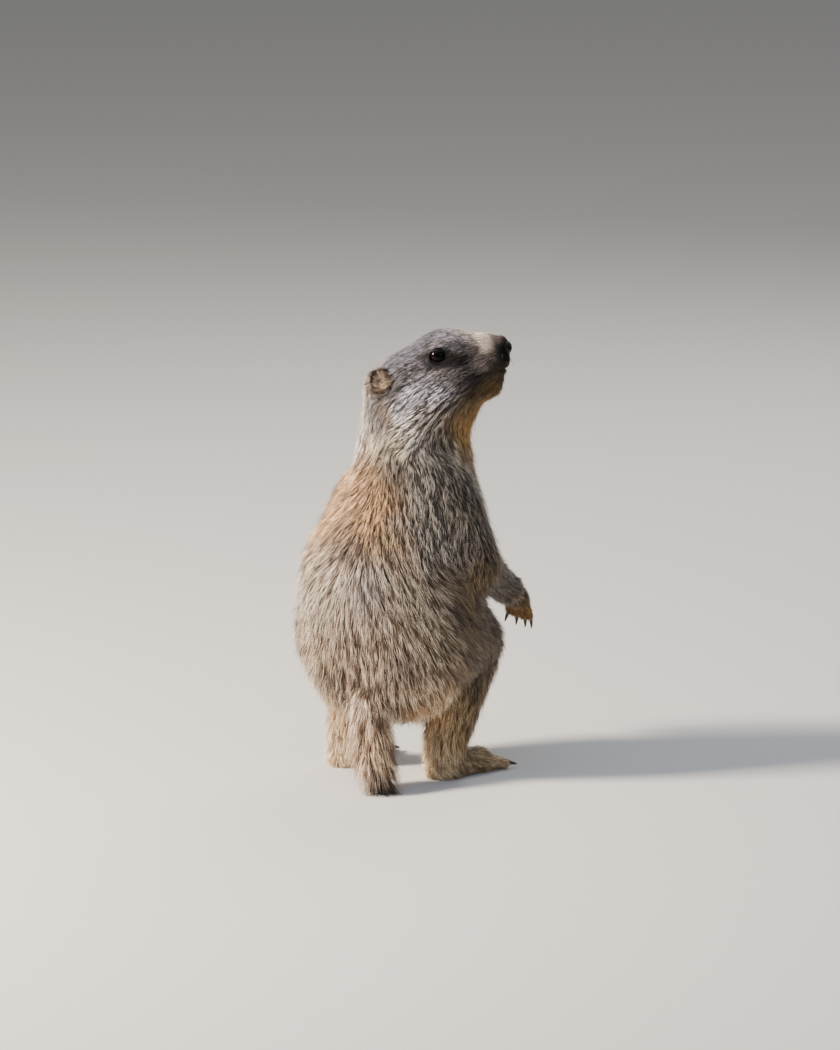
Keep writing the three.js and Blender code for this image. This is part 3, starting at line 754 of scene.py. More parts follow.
def spikes(centres, across, widths, flatness, sides=3):
    """Points, triangles, share along, turn and outward direction of one spike per row of centres."""
    count, stations = centres.shape[:2]
    steps = stations - 1
    tangent = unit(np.gradient(centres, axis=1))
    raised = unit(np.cross(tangent, across[:, None]))
    angles = math.radians(-90 + 180 / sides) + np.arange(sides) * 2 * math.pi / sides
    swell = np.linspace(1, 1 - TAPER * (steps - 1) / steps, steps)
    ring = (across[:, None, None] * np.cos(angles)[None, None, :, None]
        + raised[:, :steps, None] * np.sin(angles)[None, None, :, None] * flatness)
    rings = centres[:, :steps, None] + ring * (widths[:, None] * swell[None] / 2)[:, :, None, None]
    points = np.concatenate([rings.reshape(count, -1, 3), centres[:, -1:]], axis=1)
    outward = np.concatenate([ring.reshape(count, -1, 3), tangent[:, -1:]], axis=1)
    share = np.append(np.repeat(np.arange(steps) / steps, sides), 1.0)
    turn = np.append(np.tile(np.cos(angles), steps), 0.0)
    faces = []
    for j in range(steps):
        for k in range(sides):
            a, b = j * sides + k, j * sides + (k + 1) % sides
            if j < steps - 1:
                faces += [(a, b, b + sides), (a, b + sides, a + sides)]
            else:
                faces.append((a, b, steps * sides))
    faces += [(0, k + 1, k) for k in range(1, sides - 1)]
    first = np.arange(count) * points.shape[1]
    triangles = (np.array(faces)[None] + first[:, None, None]).reshape(-1, 3)
    return points, triangles, share, turn, outward


print("triangles of a tuft by its steps", TRIANGLES)

# %% [markdown]
# Foreach_set fills a mesh from whole arrays. Values at the points carry what the materials read: the
# coat's two colours, how far along the hair a point is, and the tuft's tone.

# %% Meshes from arrays


def mesh_of(name, points, triangles, normals=None):
    mesh = bpy.data.meshes.new(name)
    mesh.vertices.add(len(points))
    mesh.vertices.foreach_set("co", (points * MM).astype(np.float32).ravel())
    mesh.loops.add(triangles.size)
    mesh.loops.foreach_set("vertex_index", triangles.astype(np.int32).ravel())
    mesh.polygons.add(len(triangles))
    mesh.polygons.foreach_set("loop_start", np.arange(0, triangles.size, 3, dtype=np.int32))
    mesh.polygons.foreach_set("use_smooth", np.ones(len(triangles), bool))
    mesh.update(calc_edges=True)
    if normals is not None:
        mesh.normals_split_custom_set_from_vertices(normals.tolist())
    piece = bpy.data.objects.new(name, mesh)
    bpy.context.scene.collection.objects.link(piece)
    return piece


def set_values(mesh, name, values):
    kind = "FLOAT_COLOR" if values.ndim == 2 else "FLOAT"
    attribute = mesh.attributes.new(name, kind, "POINT")
    if values.ndim == 2:
        attribute.data.foreach_set("color", np.c_[values, np.ones(len(values))].astype(np.float32).ravel())
    else:
        attribute.data.foreach_set("value", values.astype(np.float32))


def set_coat(mesh, coat, each=slice(None)):
    """The coat's two colours at a mesh's points, each from its row of the coat."""
    set_values(mesh, "coat", coat["base"][each])
    set_values(mesh, "tips", coat["tip"][each])


print("meshes so far", len(bpy.data.meshes))

# %% [markdown]
# Roots are scattered over the skin at random from a fixed seed, closer together where the hair is
# short. Each triangle takes its share by its area, and a root's place on it is random too. A particle
# system would do the same, but its hairs would not be solid meshes with a map of their own.

# %% Scatter roots


def surface_of(piece):
    mesh = piece.data
    mesh.calc_loop_triangles()
    points, normals = arrays_of(mesh)
    corners = np.empty(len(mesh.loop_triangles) * 3, np.int32)
    mesh.loop_triangles.foreach_get("vertices", corners)
    loops = np.empty(len(mesh.loop_triangles) * 3, np.int32)
    mesh.loop_triangles.foreach_get("loops", loops)
    area = np.empty(len(mesh.loop_triangles))
    mesh.loop_triangles.foreach_get("area", area)
    uv = np.empty(len(mesh.loops) * 2)
    mesh.uv_layers["OFBake"].data.foreach_get("uv", uv)
    corners, loops = corners.reshape(-1, 3), loops.reshape(-1, 3)
    return {"points": points[corners], "normals": normals[corners], "uv": uv.reshape(-1, 2)[loops],
        "area": area / MM ** 2}


def scatter(surface, density, seed):
    """Roots on a surface: about density(point, normal) of them to each square millimetre."""
    rng = np.random.default_rng(seed)
    centre, normal = surface["points"].mean(1), unit(surface["normals"].mean(1))
    expected = surface["area"] * density(centre, normal)
    edges = np.cumsum(expected)
    picks = np.searchsorted(edges, rng.random(int(edges[-1])) * edges[-1])
    a, b = rng.random((2, len(picks)))
    flip = a + b > 1
    a, b = np.where(flip, 1 - a, a), np.where(flip, 1 - b, b)
    share = np.c_[1 - a - b, a, b][:, :, None]
    spots = {key: (surface[key][picks] * share).sum(1) for key in ("points", "normals", "uv")}
    spots["normals"] = unit(spots["normals"])
    return spots


def kept(spots, keep):
    return {key: value[keep] for key, value in spots.items()}


print("skin", round(float(surface_of(skin)["area"].sum()) / 100), "square cm")

# %% [markdown]
# Some places are bare or covered: the nose, the opening of the eye, and the part of the head that the
# ear's cup stands on. Behind the ear hair grows close up to it, because it lies away from the cup.

# %% Places without hair
NOSE_MARGIN = 1.02  # of the nose pad's radii
EYE_MARGIN, HAIR_MARGIN = 1.0, 0.3  # mm about the lids' opening, for roots and for tips
EAR_FOOT_RIM = (6.0, 4.5)  # mm that the cup covers before and behind its middle
EAR_FOOT_BELOW = 1.5  # mm less below it
EAR_COVERS = (-7.5, 6)  # mm along the cup's axis


def over_eye(points, side, margin):
    """Whether points lie before the opening of the lids, taken larger by a margin in mm."""
    into_eye = np.array(eye_frame(side).inverted().to_3x3())
    x, y, depth = ((points - np.array(eye_places[side]) / MM) @ into_eye.T).T
    return (depth > 0) & ((x / (OPENING[0] + margin)) ** 2 + (y / (OPENING[1] + margin)) ** 2 < 1)


def bare(points):
    none = np.linalg.norm((on_head(points) - NOSE_CENTRE) / NOSE_RADII, axis=1) < NOSE_MARGIN
    for side in SIDES:
        none |= over_eye(points, side, EYE_MARGIN)
    return none


def under_ear(points):
    hidden = np.zeros(len(points), bool)
    for sign in SIDES.values():
        gap, out = on_head(points) - EAR_PLACE * (1, sign, 1), EAR_OUT * (1, sign, 1)
        depth = gap @ out
        radial = np.linalg.norm(gap - depth[:, None] * out, axis=1)
        rim = np.where(gap[:, 0] > 0, *EAR_FOOT_RIM) - EAR_FOOT_BELOW * (gap[:, 2] < -2)
        hidden |= (radial < rim) & (depth > EAR_COVERS[0]) & (depth < EAR_COVERS[1])
    return hidden


points, normals = arrays_of(skin.data)
print("skin points without hair", int((bare(points) | under_ear(points)).sum()))

# %% [markdown]
# Hair falls into wisps, long and narrow along its lie. Some roots lead a patch, and each patch is parted
# into wisps that run side by side. Pale, plain and dark wisps side by side give the coat its grizzle.

# %% Wisps
PATCH_TUFTS = 80
WISP_WIDTH = (0.7, 0.019)  # mm, and so much more for each mm of the hair's length


def wisps(points, across, length, rng):
    """The number of each root's wisp, and its distance from the wisp's middle line."""
    leaders = rng.choice(len(points), max(len(points) // PATCH_TUFTS, 1), replace=False)
    tree = KDTree(len(leaders))
    for leader in leaders:
        tree.insert(points[leader], int(leader))
    tree.balance()
    leader = np.array([tree.find(p)[1] for p in points])
    width = WISP_WIDTH[0] + WISP_WIDTH[1] * length[leader]
    place = ((points - points[leader]) * across[leader]).sum(1) / width + rng.random(len(points))[leader]
    row = np.floor(place)
    number = np.unique(np.c_[leader, row], axis=0, return_inverse=True)[1].ravel()
    return number, (row + 0.5 - place) * width


print("wisps of 10 mm hair are", round(WISP_WIDTH[0] + WISP_WIDTH[1] * 10, 2), "mm wide")

# %% [markdown]
# The tufts of one wisp share their turn, lift and tone and draw their tips towards its middle line. A
# tuft leaves the skin steeply and bends down over its steps, as a hair does under its own weight and
# its neighbours'. A few strays stand off the coat and soften its outline.

# %% Grow tufts
LENGTH_SPREAD, LIFT_SPREAD = 0.16, 0.22
WISP_TURN, TUFT_TURN = math.radians(8), math.radians(5)
WISP_TONE, TUFT_TONE = 0.26, 0.12
GATHER = 0.8  # share of its distance from the wisp's middle that a tip gives up
FIRST_RISE, BEND = 1.25, 0.9  # of the lift: its share at the root, and what is lost on the way
ROOT_DEPTH, FLOOR_GAP = 0.5, 0.25  # mm
STRAY_SHARE, STRAY_LIFT, STRAY_LENGTH, STRAY_WIDTH = 0.06, 1.7, 1.12, 0.6
TUFT_WIDTH, WIDEST = (0.26, 0.034), 0.66  # mm, and so much more for each mm of length, up to this


def width_of(length):
    return np.minimum(TUFT_WIDTH[0] + TUFT_WIDTH[1] * length, WIDEST)


def turned(vectors, normals, angles):
    return vectors * np.cos(angles)[:, None] + np.cross(normals, vectors) * np.sin(angles)[:, None]


def tufts(spots, coat, steps, seed):
    """Centre lines, lies, widths and tones of the tufts at some roots."""
    rng = np.random.default_rng(seed)
    roots, normals = spots["points"], spots["normals"]
    across = unit(np.cross(normals, coat["lie"]))
    number, aside = wisps(roots, across, coat["length"], rng)
    count = len(roots)
    wisp = rng.normal(size=(3, number.max() + 1))[:, number]
    lie = turned(coat["lie"], normals, wisp[0] * WISP_TURN + rng.normal(size=count) * TUFT_TURN)
    spread = np.clip(0.5 * wisp[1] + 0.8 * rng.normal(size=count), -2, 2)
    length = coat["length"] * (1 + LENGTH_SPREAD * spread)
    lift = coat["lift"] * np.clip(
        1 + LIFT_SPREAD * wisp[2] + LIFT_SPREAD * rng.normal(size=count), 0.35, 1.8)
    stray = rng.random(count) < STRAY_SHARE
    lift = np.where(stray, lift * STRAY_LIFT, lift)
    length = np.where(stray, length * STRAY_LENGTH, length)
    pull = across * (aside * GATHER)[:, None]
    centres = [roots - normals * ROOT_DEPTH]
    for step in range(steps):
        slope = lift * (FIRST_RISE - BEND * step / (steps - 1)) if steps > 1 else lift
        heading = unit(lie * np.cos(slope)[:, None] + normals * np.sin(slope)[:, None])
        drawn = pull * (step + 1) / steps ** 2
        centres.append(centres[-1] + heading * (length / steps)[:, None] + drawn)
    centres = np.stack(centres, axis=1)
    centres[:, :, 2] = np.maximum(centres[:, :, 2], FLOOR_GAP)
    width = width_of(length) * rng.uniform(0.8, 1.2, count) * np.where(stray, STRAY_WIDTH, 1.0)
    tone = np.clip(0.5 + WISP_TONE * wisp[1] + TUFT_TONE * rng.normal(size=count), 0, 1)
    return centres, lie, width, tone


print("tufts of 3 and 15 mm are", width_of(3).round(2), "and", width_of(15).round(2), "mm wide")

# %% [markdown]
# The tufts of a piece become one mesh. Each is a small patch of the map at its root's place on the
# skin's own map, so that a bake takes the skin's colours there. The normals lean towards the skin's, and
# the coat then takes the light as one soft surface and not as thousands of blades.

# %% A piece of the coat
UV_WIDTH, UV_LENGTH = 0.0012, 0.003
FLATNESS = 0.5  # thickness of a tuft by its width


def coat_piece(name, spots, coat, grown):
    centres, lie, width, tone = grown
    sideways = unit(np.cross(spots["normals"] + (0.02, 0.05, 0.01), lie))
    points, triangles, share, turn, outward = spikes(centres, sideways, width, FLATNESS)
    count, per = points.shape[:2]
    shade = unit(spots["normals"][:, None] * 0.6 + outward * 0.75).reshape(-1, 3)
    piece = mesh_of(name, points.reshape(-1, 3), triangles, shade)
    mesh = piece.data
    each = np.repeat(np.arange(count), per)
    set_coat(mesh, coat, each)
    set_values(mesh, "tone", tone[each])
    set_values(mesh, "along", np.tile(share, count))
    u = spots["uv"][each, 0] + np.tile(turn, count) * UV_WIDTH
    v = spots["uv"][each, 1] + (np.tile(share, count) - 0.5) * UV_LENGTH
    layer = mesh.uv_layers.new(name="OFBake")
    layer.data.foreach_set("uv", np.c_[u, v][triangles.ravel()].astype(np.float32).ravel())
    return piece


print("a tuft's patch of the map is", UV_WIDTH * 2, "by", UV_LENGTH)

# %% [markdown]
# The tail is a brush that grows fuller down its length. Its hairs are long, leave the core at a steep
# slant and run on past its end, where they are nearly black.

# %% The coat's plan with the tail
TAIL_HAIR = 25.0
TAIL_LIFT = math.radians(25)
# the coat's two colours, then the same at the dark end
TAIL_COLOURS = [np.array(linear(c)) for c in ("#8d6c50", "#ffe2c0", "#33291f", "#6b594b")]
# shares of the line over which the tail begins, its hair grows long, and it turns dark
TAIL_BEGINS, TAIL_FILLS, TAIL_DARKENS = (0.04, 0.2), (0.08, 0.5), (0.7, 1.0)
OFF_CORE = (1.5, 4)  # mm outside the core over which the tail's coat gives way to the body's


def on_tail(points):
    """Share along the tail's line, distance outside its core, and the tail's direction there."""
    along = np.diff(TAIL_LINE, axis=0)
    t = np.einsum("prk,rk->pr", points[:, None] - TAIL_LINE[None, :-1], along) / (along ** 2).sum(1)
    t = np.clip(t, 0, 1)
    gap = np.linalg.norm(points[:, None] - TAIL_LINE[None, :-1] - t[..., None] * along[None], axis=2)
    near = gap.argmin(1)
    share = (near + t[np.arange(len(points)), near]) / len(along)
    return share, gap.min(1) - core_radius(share), unit(along)[near]


def coat_of(points, normals):
    coat = marked(points, coat_at(points, normals))
    share, gap, way = on_tail(points)
    coat["tail"] = ease(share, *TAIL_BEGINS) * (1 - ease(gap, *OFF_CORE))
    coat["lie"] = unit(mixed(coat["lie"], way, coat["tail"]))
    full = coat["tail"] * ease(share, *TAIL_FILLS)
    coat["length"] = coat["length"] * (1 - full) + TAIL_HAIR * full
    coat["lift"] = coat["lift"] * (1 - full) + TAIL_LIFT * full
    dark = ease(share, *TAIL_DARKENS)
    for key, i in (("base", 0), ("tip", 1)):
        coat[key] = mixed(coat[key], mixed(TAIL_COLOURS[i], TAIL_COLOURS[i + 2], dark), full)
    return coat


coat = coat_of(*arrays_of(skin.data))
set_coat(skin.data, coat)
print("tail's share of the skin", round(float(coat["tail"].mean()), 3))

# %% [markdown]
# Marmot fur is a dense wool under stiffer guard hairs. Each guard hair is dark in its depth, partly its
# own colour and partly painted shade of the coat's depth, and pale towards its tip, and it is dull, with
# a faint sheen at grazing angles. The tufts carry how far along the hair a point is, and a tone of their
# own that says whether the tuft is pale-tipped, plain or dark.

# %% Fur
WOOL_PATCH = 6.0  # mm across
WOOL_RANGE = 0.18  # by which the patches are darker and lighter
PALE_TIPPED = (0.37, 0.67)  # tones between which a tuft gains its pale tip
DARK_TONES, DARKEST = (0.1, 0.45), 0.36  # tones over which a tuft darkens, and how far
ROOT_END = 0.45  # share of the hair that lies in the coat's own shade


def fur_material(name, tip_starts, tip_full, root_shade, **shader):
    material, tree, surface = new_material(name, **shader)
    value = {key: add_node(tree, "ShaderNodeAttribute", attribute_name=key) for key in (
        "coat", "tips", "along", "tone")}
    along, tone = value["along"].outputs["Fac"], value["tone"].outputs["Fac"]
    tipped = add_node(tree, "ShaderNodeMapRange", {
        "Value": along, "From Min": tip_starts, "From Max": tip_full}, interpolation_type="SMOOTHSTEP")
    pale = add_node(tree, "ShaderNodeMapRange", {
        "Value": tone, "From Min": PALE_TIPPED[0], "From Max": PALE_TIPPED[1]})
    share = add_node(tree, "ShaderNodeMath", {
        0: tipped.outputs[0], 1: pale.outputs[0]}, operation="MULTIPLY")
    colour = add_node(tree, "ShaderNodeMix", {
        0: share.outputs[0], 6: value["coat"].outputs["Color"], 7: value["tips"].outputs["Color"]},
        data_type="RGBA")
    # painted shade: each hair darkens towards its root, deep in the coat
    rooted = add_node(tree, "ShaderNodeMapRange", {
        "Value": along, "From Min": 0.0, "From Max": ROOT_END, "To Min": root_shade, "To Max": 1.0})
    dark = add_node(tree, "ShaderNodeMapRange", {
        "Value": tone, "From Min": DARK_TONES[0], "From Max": DARK_TONES[1], "To Min": DARKEST})
    place = add_node(tree, "ShaderNodeTexCoord")
    patches = add_node(tree, "ShaderNodeTexNoise", {
        "Vector": place.outputs["Object"], "Scale": 1 / (WOOL_PATCH * MM), "Detail": 2.0})
    patch = add_node(tree, "ShaderNodeMapRange", {
        "Value": patches.outputs[0], "From Min": 0.3, "From Max": 0.7, "To Min": 1 - WOOL_RANGE,
        "To Max": 1 + WOOL_RANGE})
    shade = add_node(tree, "ShaderNodeMath", {
        0: rooted.outputs[0], 1: dark.outputs[0]}, operation="MULTIPLY")
    shade = add_node(tree, "ShaderNodeMath", {
        0: shade.outputs[0], 1: patch.outputs[0]}, operation="MULTIPLY")
    shaded = add_node(tree, "ShaderNodeVectorMath", {
        0: colour.outputs[2], "Scale": shade.outputs[0]}, operation="SCALE")
    tree.links.new(shaded.outputs[0], surface.inputs["Base Color"])
    return material


guard_hair = fur_material("guard hair over wool", 0.35, 0.75, 0.38,
    Roughness=0.52, Specular_IOR_Level=0.45, Sheen_Weight=0.2, Sheen_Roughness=0.5)
velvet_hair = fur_material("short velvet fur", 0.25, 0.8, 0.5,
    Roughness=0.7, Specular_IOR_Level=0.2, Sheen_Weight=0.1, Sheen_Roughness=0.5)
print("fur materials", guard_hair.name, "and", velvet_hair.name)

# %% [markdown]
# The skin shows only as the depth between the tufts. It carries the same colours, somewhat darker
# for the dark underfur and as painted shade of that depth, broken up at the width of a tuft, and a bump
# at that width, so that no bare patch is smooth.

# %% Haired skin
SKIN_WISP = 0.9  # mm
# darker for the dark underfur and as painted shade between the tufts
SKIN_SHADE = 0.62  # of the hair's colours
haired_skin, tree, surface = new_material("haired skin", Roughness=0.85, Specular_IOR_Level=0.15)
coat_colour = add_node(tree, "ShaderNodeAttribute", attribute_name="coat")
tip_colour = add_node(tree, "ShaderNodeAttribute", attribute_name="tips")
place = add_node(tree, "ShaderNodeTexCoord")
strands = add_node(tree, "ShaderNodeTexNoise", {
    "Vector": place.outputs["Object"], "Scale": 1 / (SKIN_WISP * MM), "Detail": 3.0})
colour = add_node(tree, "ShaderNodeMix", {
    0: strands.outputs[0], 6: coat_colour.outputs["Color"], 7: tip_colour.outputs["Color"]},
    data_type="RGBA")
deep = add_node(tree, "ShaderNodeVectorMath", {
    0: colour.outputs[2], "Scale": SKIN_SHADE}, operation="SCALE")
bump = add_node(tree, "ShaderNodeBump", {
    "Height": strands.outputs[0], "Distance": 0.5 * MM, "Strength": 0.8})
tree.links.new(deep.outputs[0], surface.inputs["Base Color"])
tree.links.new(bump.outputs[0], surface.inputs["Normal"])
skin.data.materials.append(haired_skin)
print("skin material", haired_skin.name, "with", len(tree.nodes), "nodes")

# %% [markdown]
# The number of roots to a square millimetre follows from the tufts' size, so that the coat is equally
# thick everywhere, several tufts deep. Hair in front of the eye is cut short, so that none lies over it.

# %% Roots
LAYERS_LONG, LAYERS_SHORT = 5.2, 3.6
COVER_LONG, COVER_SHORT = 0.68, 0.5  # share of its length by its width that a tuft covers
TAIL_LAYERS = 1.4  # so much more on the tail
SHORT_HAIR = 6.0  # mm; below this a tuft has one step
EYE_CUTS, EYE_CUT = 5, 0.72  # how often hair that lies over an eye is cut, and to what share


def density(points, normals):
    plan = coat_of(points, normals)
    length = plan["length"]
    layers = np.where(length > SHORT_HAIR, LAYERS_LONG, LAYERS_SHORT) * (1 + TAIL_LAYERS * plan["tail"])
    return layers / (np.where(length > SHORT_HAIR, COVER_LONG, COVER_SHORT) * width_of(length) * length)


def clear_of_eyes(spots, coat):
    length = coat["length"]
    for side in SIDES:
        for _ in range(EYE_CUTS):
            tip = spots["points"] + coat["lie"] * length[:, None]
            length = np.where(over_eye(tip, side, HAIR_MARGIN), length * EYE_CUT, length)
    return coat | {"length": length}


spots = scatter(surface_of(skin), density, 11)
spots = kept(spots, ~(bare(spots["points"]) | under_ear(spots["points"])))
coat = clear_of_eyes(spots, coat_of(spots["points"], spots["normals"]))
print("roots", len(spots["points"]), "short", int((coat["length"] <= SHORT_HAIR).sum()))

# %% [markdown]
# The coat is cut into pieces by the part of the body that a root stands on, and a part is cut again so
# that no piece grows too large to keep whole. The cut doesn't show, because the tufts of neighbouring
# pieces lie over one another.

# %% Parts of the coat
PARTS = {
    "head": ("slate_fur", ["head", "lower_jaw"]),
    "neck": ("grizzled_fur", ["neck"]),
    "chest": ("brown_fur", ["chest"]),
    "rump": ("brown_fur", ["belly_and_rump"]),
    "arms": ("leg_fur", ["upper_arm_left", "upper_arm_right", "forearm_left", "forearm_right"]),
    "thighs": ("flank_fur", ["thigh_left", "thigh_right"]),
    "shanks": ("leg_fur", ["shank_left", "shank_right"]),
    "paws": ("paw_fur", ["forepaw_left", "forepaw_right"]),
    "feet": ("paw_fur", ["hind_foot_left", "hind_foot_right"]),
    "tail": ("tail_fur", []),  # known by the coat's own plan
}


def part_of(points):
    """The number of the part whose solid has the nearest corner."""
    corners, owner = [], []
    for number, (_, nodes) in enumerate(PARTS.values()):
        for node in nodes:
            corners.append(arrays_of(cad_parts[node].data)[0])
            owner += [number] * len(corners[-1])
    corners = np.concatenate(corners)
    tree = KDTree(len(corners))
    for i, corner in enumerate(corners):
        tree.insert(corner, i)
    tree.balance()
    return np.array([owner[tree.find(p)[1]] for p in points])


part = part_of(spots["points"])
part[coat["tail"] > 0.5] = list(PARTS).index("tail")
print("roots by part", dict(zip(PARTS, np.bincount(part).tolist())))

# %% [markdown]
# Short hair is one straight step, long hair two, and the tail's three. Within a part the roots are
# sorted by the way they lie from its middle, and a part that is too large is cut like a cake.

# %% Coat of the body
MOST_TRIANGLES = 185000
FEWEST_TUFTS = 40
fur_pieces = []
for number, (name, (slot_name, _)) in enumerate(PARTS.items()):
    for kind, steps in (("short", 1), ("long", 3 if name == "tail" else 2)):
        chosen = (part == number) & ((coat["length"] <= SHORT_HAIR) == (kind == "short"))
        if chosen.sum() < FEWEST_TUFTS:
            continue
        ids = np.flatnonzero(chosen)
        offset = spots["points"][ids] - spots["points"][ids].mean(0)
        ids = ids[np.argsort(np.arctan2(offset[:, 1], offset[:, 0]))]
        pieces = int(np.ceil(len(ids) * TRIANGLES[steps] / MOST_TRIANGLES))
        for i, some in enumerate(np.array_split(ids, pieces)):
            here = kept(spots, some)
            planned = {key: value[some] for key, value in coat.items()}
            seed = 100 + 10 * number + 5 * (kind == "long") + i
            grown = tufts(here, planned, steps, seed)
            piece = coat_piece(f"{kind}_fur_{name}_{i + 1}", here, planned, grown)
            piece.data.materials.append(guard_hair if kind == "long" else velvet_hair)
            fur_pieces.append((piece, slot_name))
print("coat pieces", len(fur_pieces), "triangles", sum(len(p.data.polygons) for p, s in fur_pieces))

# %% [markdown]
# The ear is furred on both sides. Its back is brown with a dark rim, which is pale at the rear edge. The
# hairs inside are longer: tan in the middle, painted paler as light in the cup, and dark round the
# margin, a painted shade of the cup's rim.

# %% The ear's coat
# inside is tan painted paler to stand in for light in the cup; margin is painted shade of the rim
EAR_COLOURS = {name: [np.array(linear(c)) for c in pair] for name, pair in {
    "back": ("#46362b", "#7a6450"), "rim": ("#2f241e", "#54443a"), "inside": ("#c2a184", "#ffe8cc"),
    "margin": ("#3d3029", "#7b6555"), "fringe": ("#9b8a78", "#cdbfae")}.items()}
EAR_RADIUS = 10.5
EAR_INNER_HAIR, EAR_OUTER_HAIR = 6.2, 4.2  # mm


def ear_coat(points, normals, side):
    flip = np.array([1, side, 1])
    local, facing = on_head(points) * flip, (normals @ HEAD_AXES.T) * flip
    gap = local - EAR_PLACE
    depth = gap @ EAR_OUT
    radial = gap - depth[:, None] * EAR_OUT
    reach = np.linalg.norm(radial, axis=1)
    inside = ((facing * EAR_OUT).sum(1) > 0.15) & (reach < EAR_RADIUS - 0.8)
    outward = unit(radial + 1e-6)
    rim = ease(depth, 2.5, 5.5)
    behind = ease(-gap[:, 0] / EAR_RADIUS, 0.1, 0.7) * rim
    lie = np.where(inside[:, None],
        outward * 0.35 + EAR_OUT * 0.6 + (-0.8, 0, 0.3), outward * 0.5 + (-0.7, 0, 0.15))
    coat = {"lie": laid_flat(lie * flip @ HEAD_AXES, normals)}
    coat["length"] = np.where(inside, EAR_INNER_HAIR - 2.4 * ease(reach, 6, 9), EAR_OUTER_HAIR)
    coat["lift"] = np.radians(np.where(inside, 38.0, 24.0) + 10 * behind)
    for key, i in (("base", 0), ("tip", 1)):
        colour = {name: pair[i] for name, pair in EAR_COLOURS.items()}
        edge = mixed(colour["rim"], colour["fringe"], behind)
        outside = mixed(colour["back"], edge, rim)
        # painted shade: the bowl darkens towards its margin, where the rim shades it
        bowl = mixed(colour["inside"], colour["margin"], ease(reach, 5.5, 8.5))
        coat[key] = np.where(inside[:, None], bowl, outside)
    return coat


print("colours of the ear", ", ".join(EAR_COLOURS))

# %% [markdown]
# The cup is drawn in from above and below, and its bottom is filled, as flesh and down fill a real one.
# Then its own small coat of one-step tufts grows from it, thicker set than the body's.

# %% Fur of the ears
EAR_FILL = 7.2  # mm by which flesh and down fill the bottom of the cup
EAR_HEIGHT = 0.8  # of its width, as the fold at its foot draws it in
EAR_RISE = 1.0  # mm
EAR_TUFTS = 3.4  # to a square millimetre
for side, sign in SIDES.items():
    ear = ears[side]
    points, normals = arrays_of(ear.data)
    flip = np.array([1, sign, 1])
    gap = on_head(points) * flip - EAR_PLACE
    points += (gap[:, 2] * (EAR_HEIGHT - 1) + EAR_RISE)[:, None] * HEAD_AXES[2]
    reach = np.linalg.norm(gap - (gap @ EAR_OUT)[:, None] * EAR_OUT, axis=1) / EAR_RADIUS
    facing = ((normals @ HEAD_AXES.T) * flip) @ EAR_OUT
    fill = EAR_FILL * np.clip(1 - (reach / 0.85) ** 2, 0, 1) * (facing > 0.1)
    points += fill[:, None] * ((EAR_OUT * flip) @ HEAD_AXES)
    ear.data.vertices.foreach_set("co", (points * MM).ravel())
    ear.data.update()
    set_coat(ear.data, ear_coat(*arrays_of(ear.data), sign))
    ear.data.materials.append(haired_skin)
    spots = scatter(surface_of(ear), lambda p, n: np.full(len(p), EAR_TUFTS), 31)
    coat = ear_coat(spots["points"], spots["normals"], sign)
    piece = coat_piece(f"ear_fur_{side}", spots, coat, tufts(spots, coat, 1, 41 + sign))
    piece.data.materials.append(velvet_hair)
    fur_pieces.append((piece, "ear_fur"))
    print(side, "ear tufts", len(spots["points"]))

# %% [markdown]
# A wet eye is a clear cornea over a dark iris. Here one glossy surface carries both, nearly black in
# the pupil and very dark brown round it, darker again at the iris's edge. The lids are bare dark skin,
# with a painted reflection in pale grey-blue along the lower lid's wet edge.

# %% Wet eye and lid skin
wet_eye, tree, surface = new_material(
    "wet dark eye", Roughness=0.05, IOR=1.38, Specular_IOR_Level=0.15)
from_pupil = add_node(tree, "ShaderNodeAttribute", attribute_name="from_pupil")
iris = add_node(tree, "ShaderNodeValToRGB", {"Fac": from_pupil.outputs["Fac"]})
RINGS = ((0.0, "#030303"), (0.13, "#040303"), (0.18, "#0e0806"), (0.27, "#0a0605"), (0.34, "#040303"))
while len(iris.color_ramp.elements) < len(RINGS):
    iris.color_ramp.elements.new(0.5)
for element, (place, colour) in zip(iris.color_ramp.elements, RINGS):
    element.position = place
    element.color = (*linear(colour), 1)
tree.links.new(iris.outputs["Color"], surface.inputs["Base Color"])
lid_skin, tree, surface = new_material("moist lid skin", Roughness=0.55, Specular_IOR_Level=0.18)
wet_edge_glint = add_node(tree, "ShaderNodeAttribute", attribute_name="wet_edge_glint")
# painted reflection: pale grey-blue along the lower lid's wet edge
colour = add_node(tree, "ShaderNodeMix", {
    0: wet_edge_glint.outputs["Fac"], 6: (*linear("#080605"), 1), 7: (*linear("#4c5359"), 1)}, data_type="RGBA")
tree.links.new(colour.outputs[2], surface.inputs["Base Color"])
place = add_node(tree, "ShaderNodeTexCoord")
creases = add_node(tree, "ShaderNodeTexNoise", {"Vector": place.outputs["Object"], "Scale": 1 / (0.8 * MM)})
bump = add_node(tree, "ShaderNodeBump", {
    "Height": creases.outputs[0], "Distance": 0.15 * MM, "Strength": 0.6})
tree.links.new(bump.outputs[0], surface.inputs["Normal"])
for side in SIDES:
    eyes[side].data.materials.append(wet_eye)
    lids[side].data.materials.append(lid_skin)
print("eye materials made")

# %% [markdown]
# The nose is bare, damp skin with a pebbled grain of about 0.8 mm, like fine leather, and a soft gloss.
# Claws are horn: dark, with streaks along them and a polish from digging.

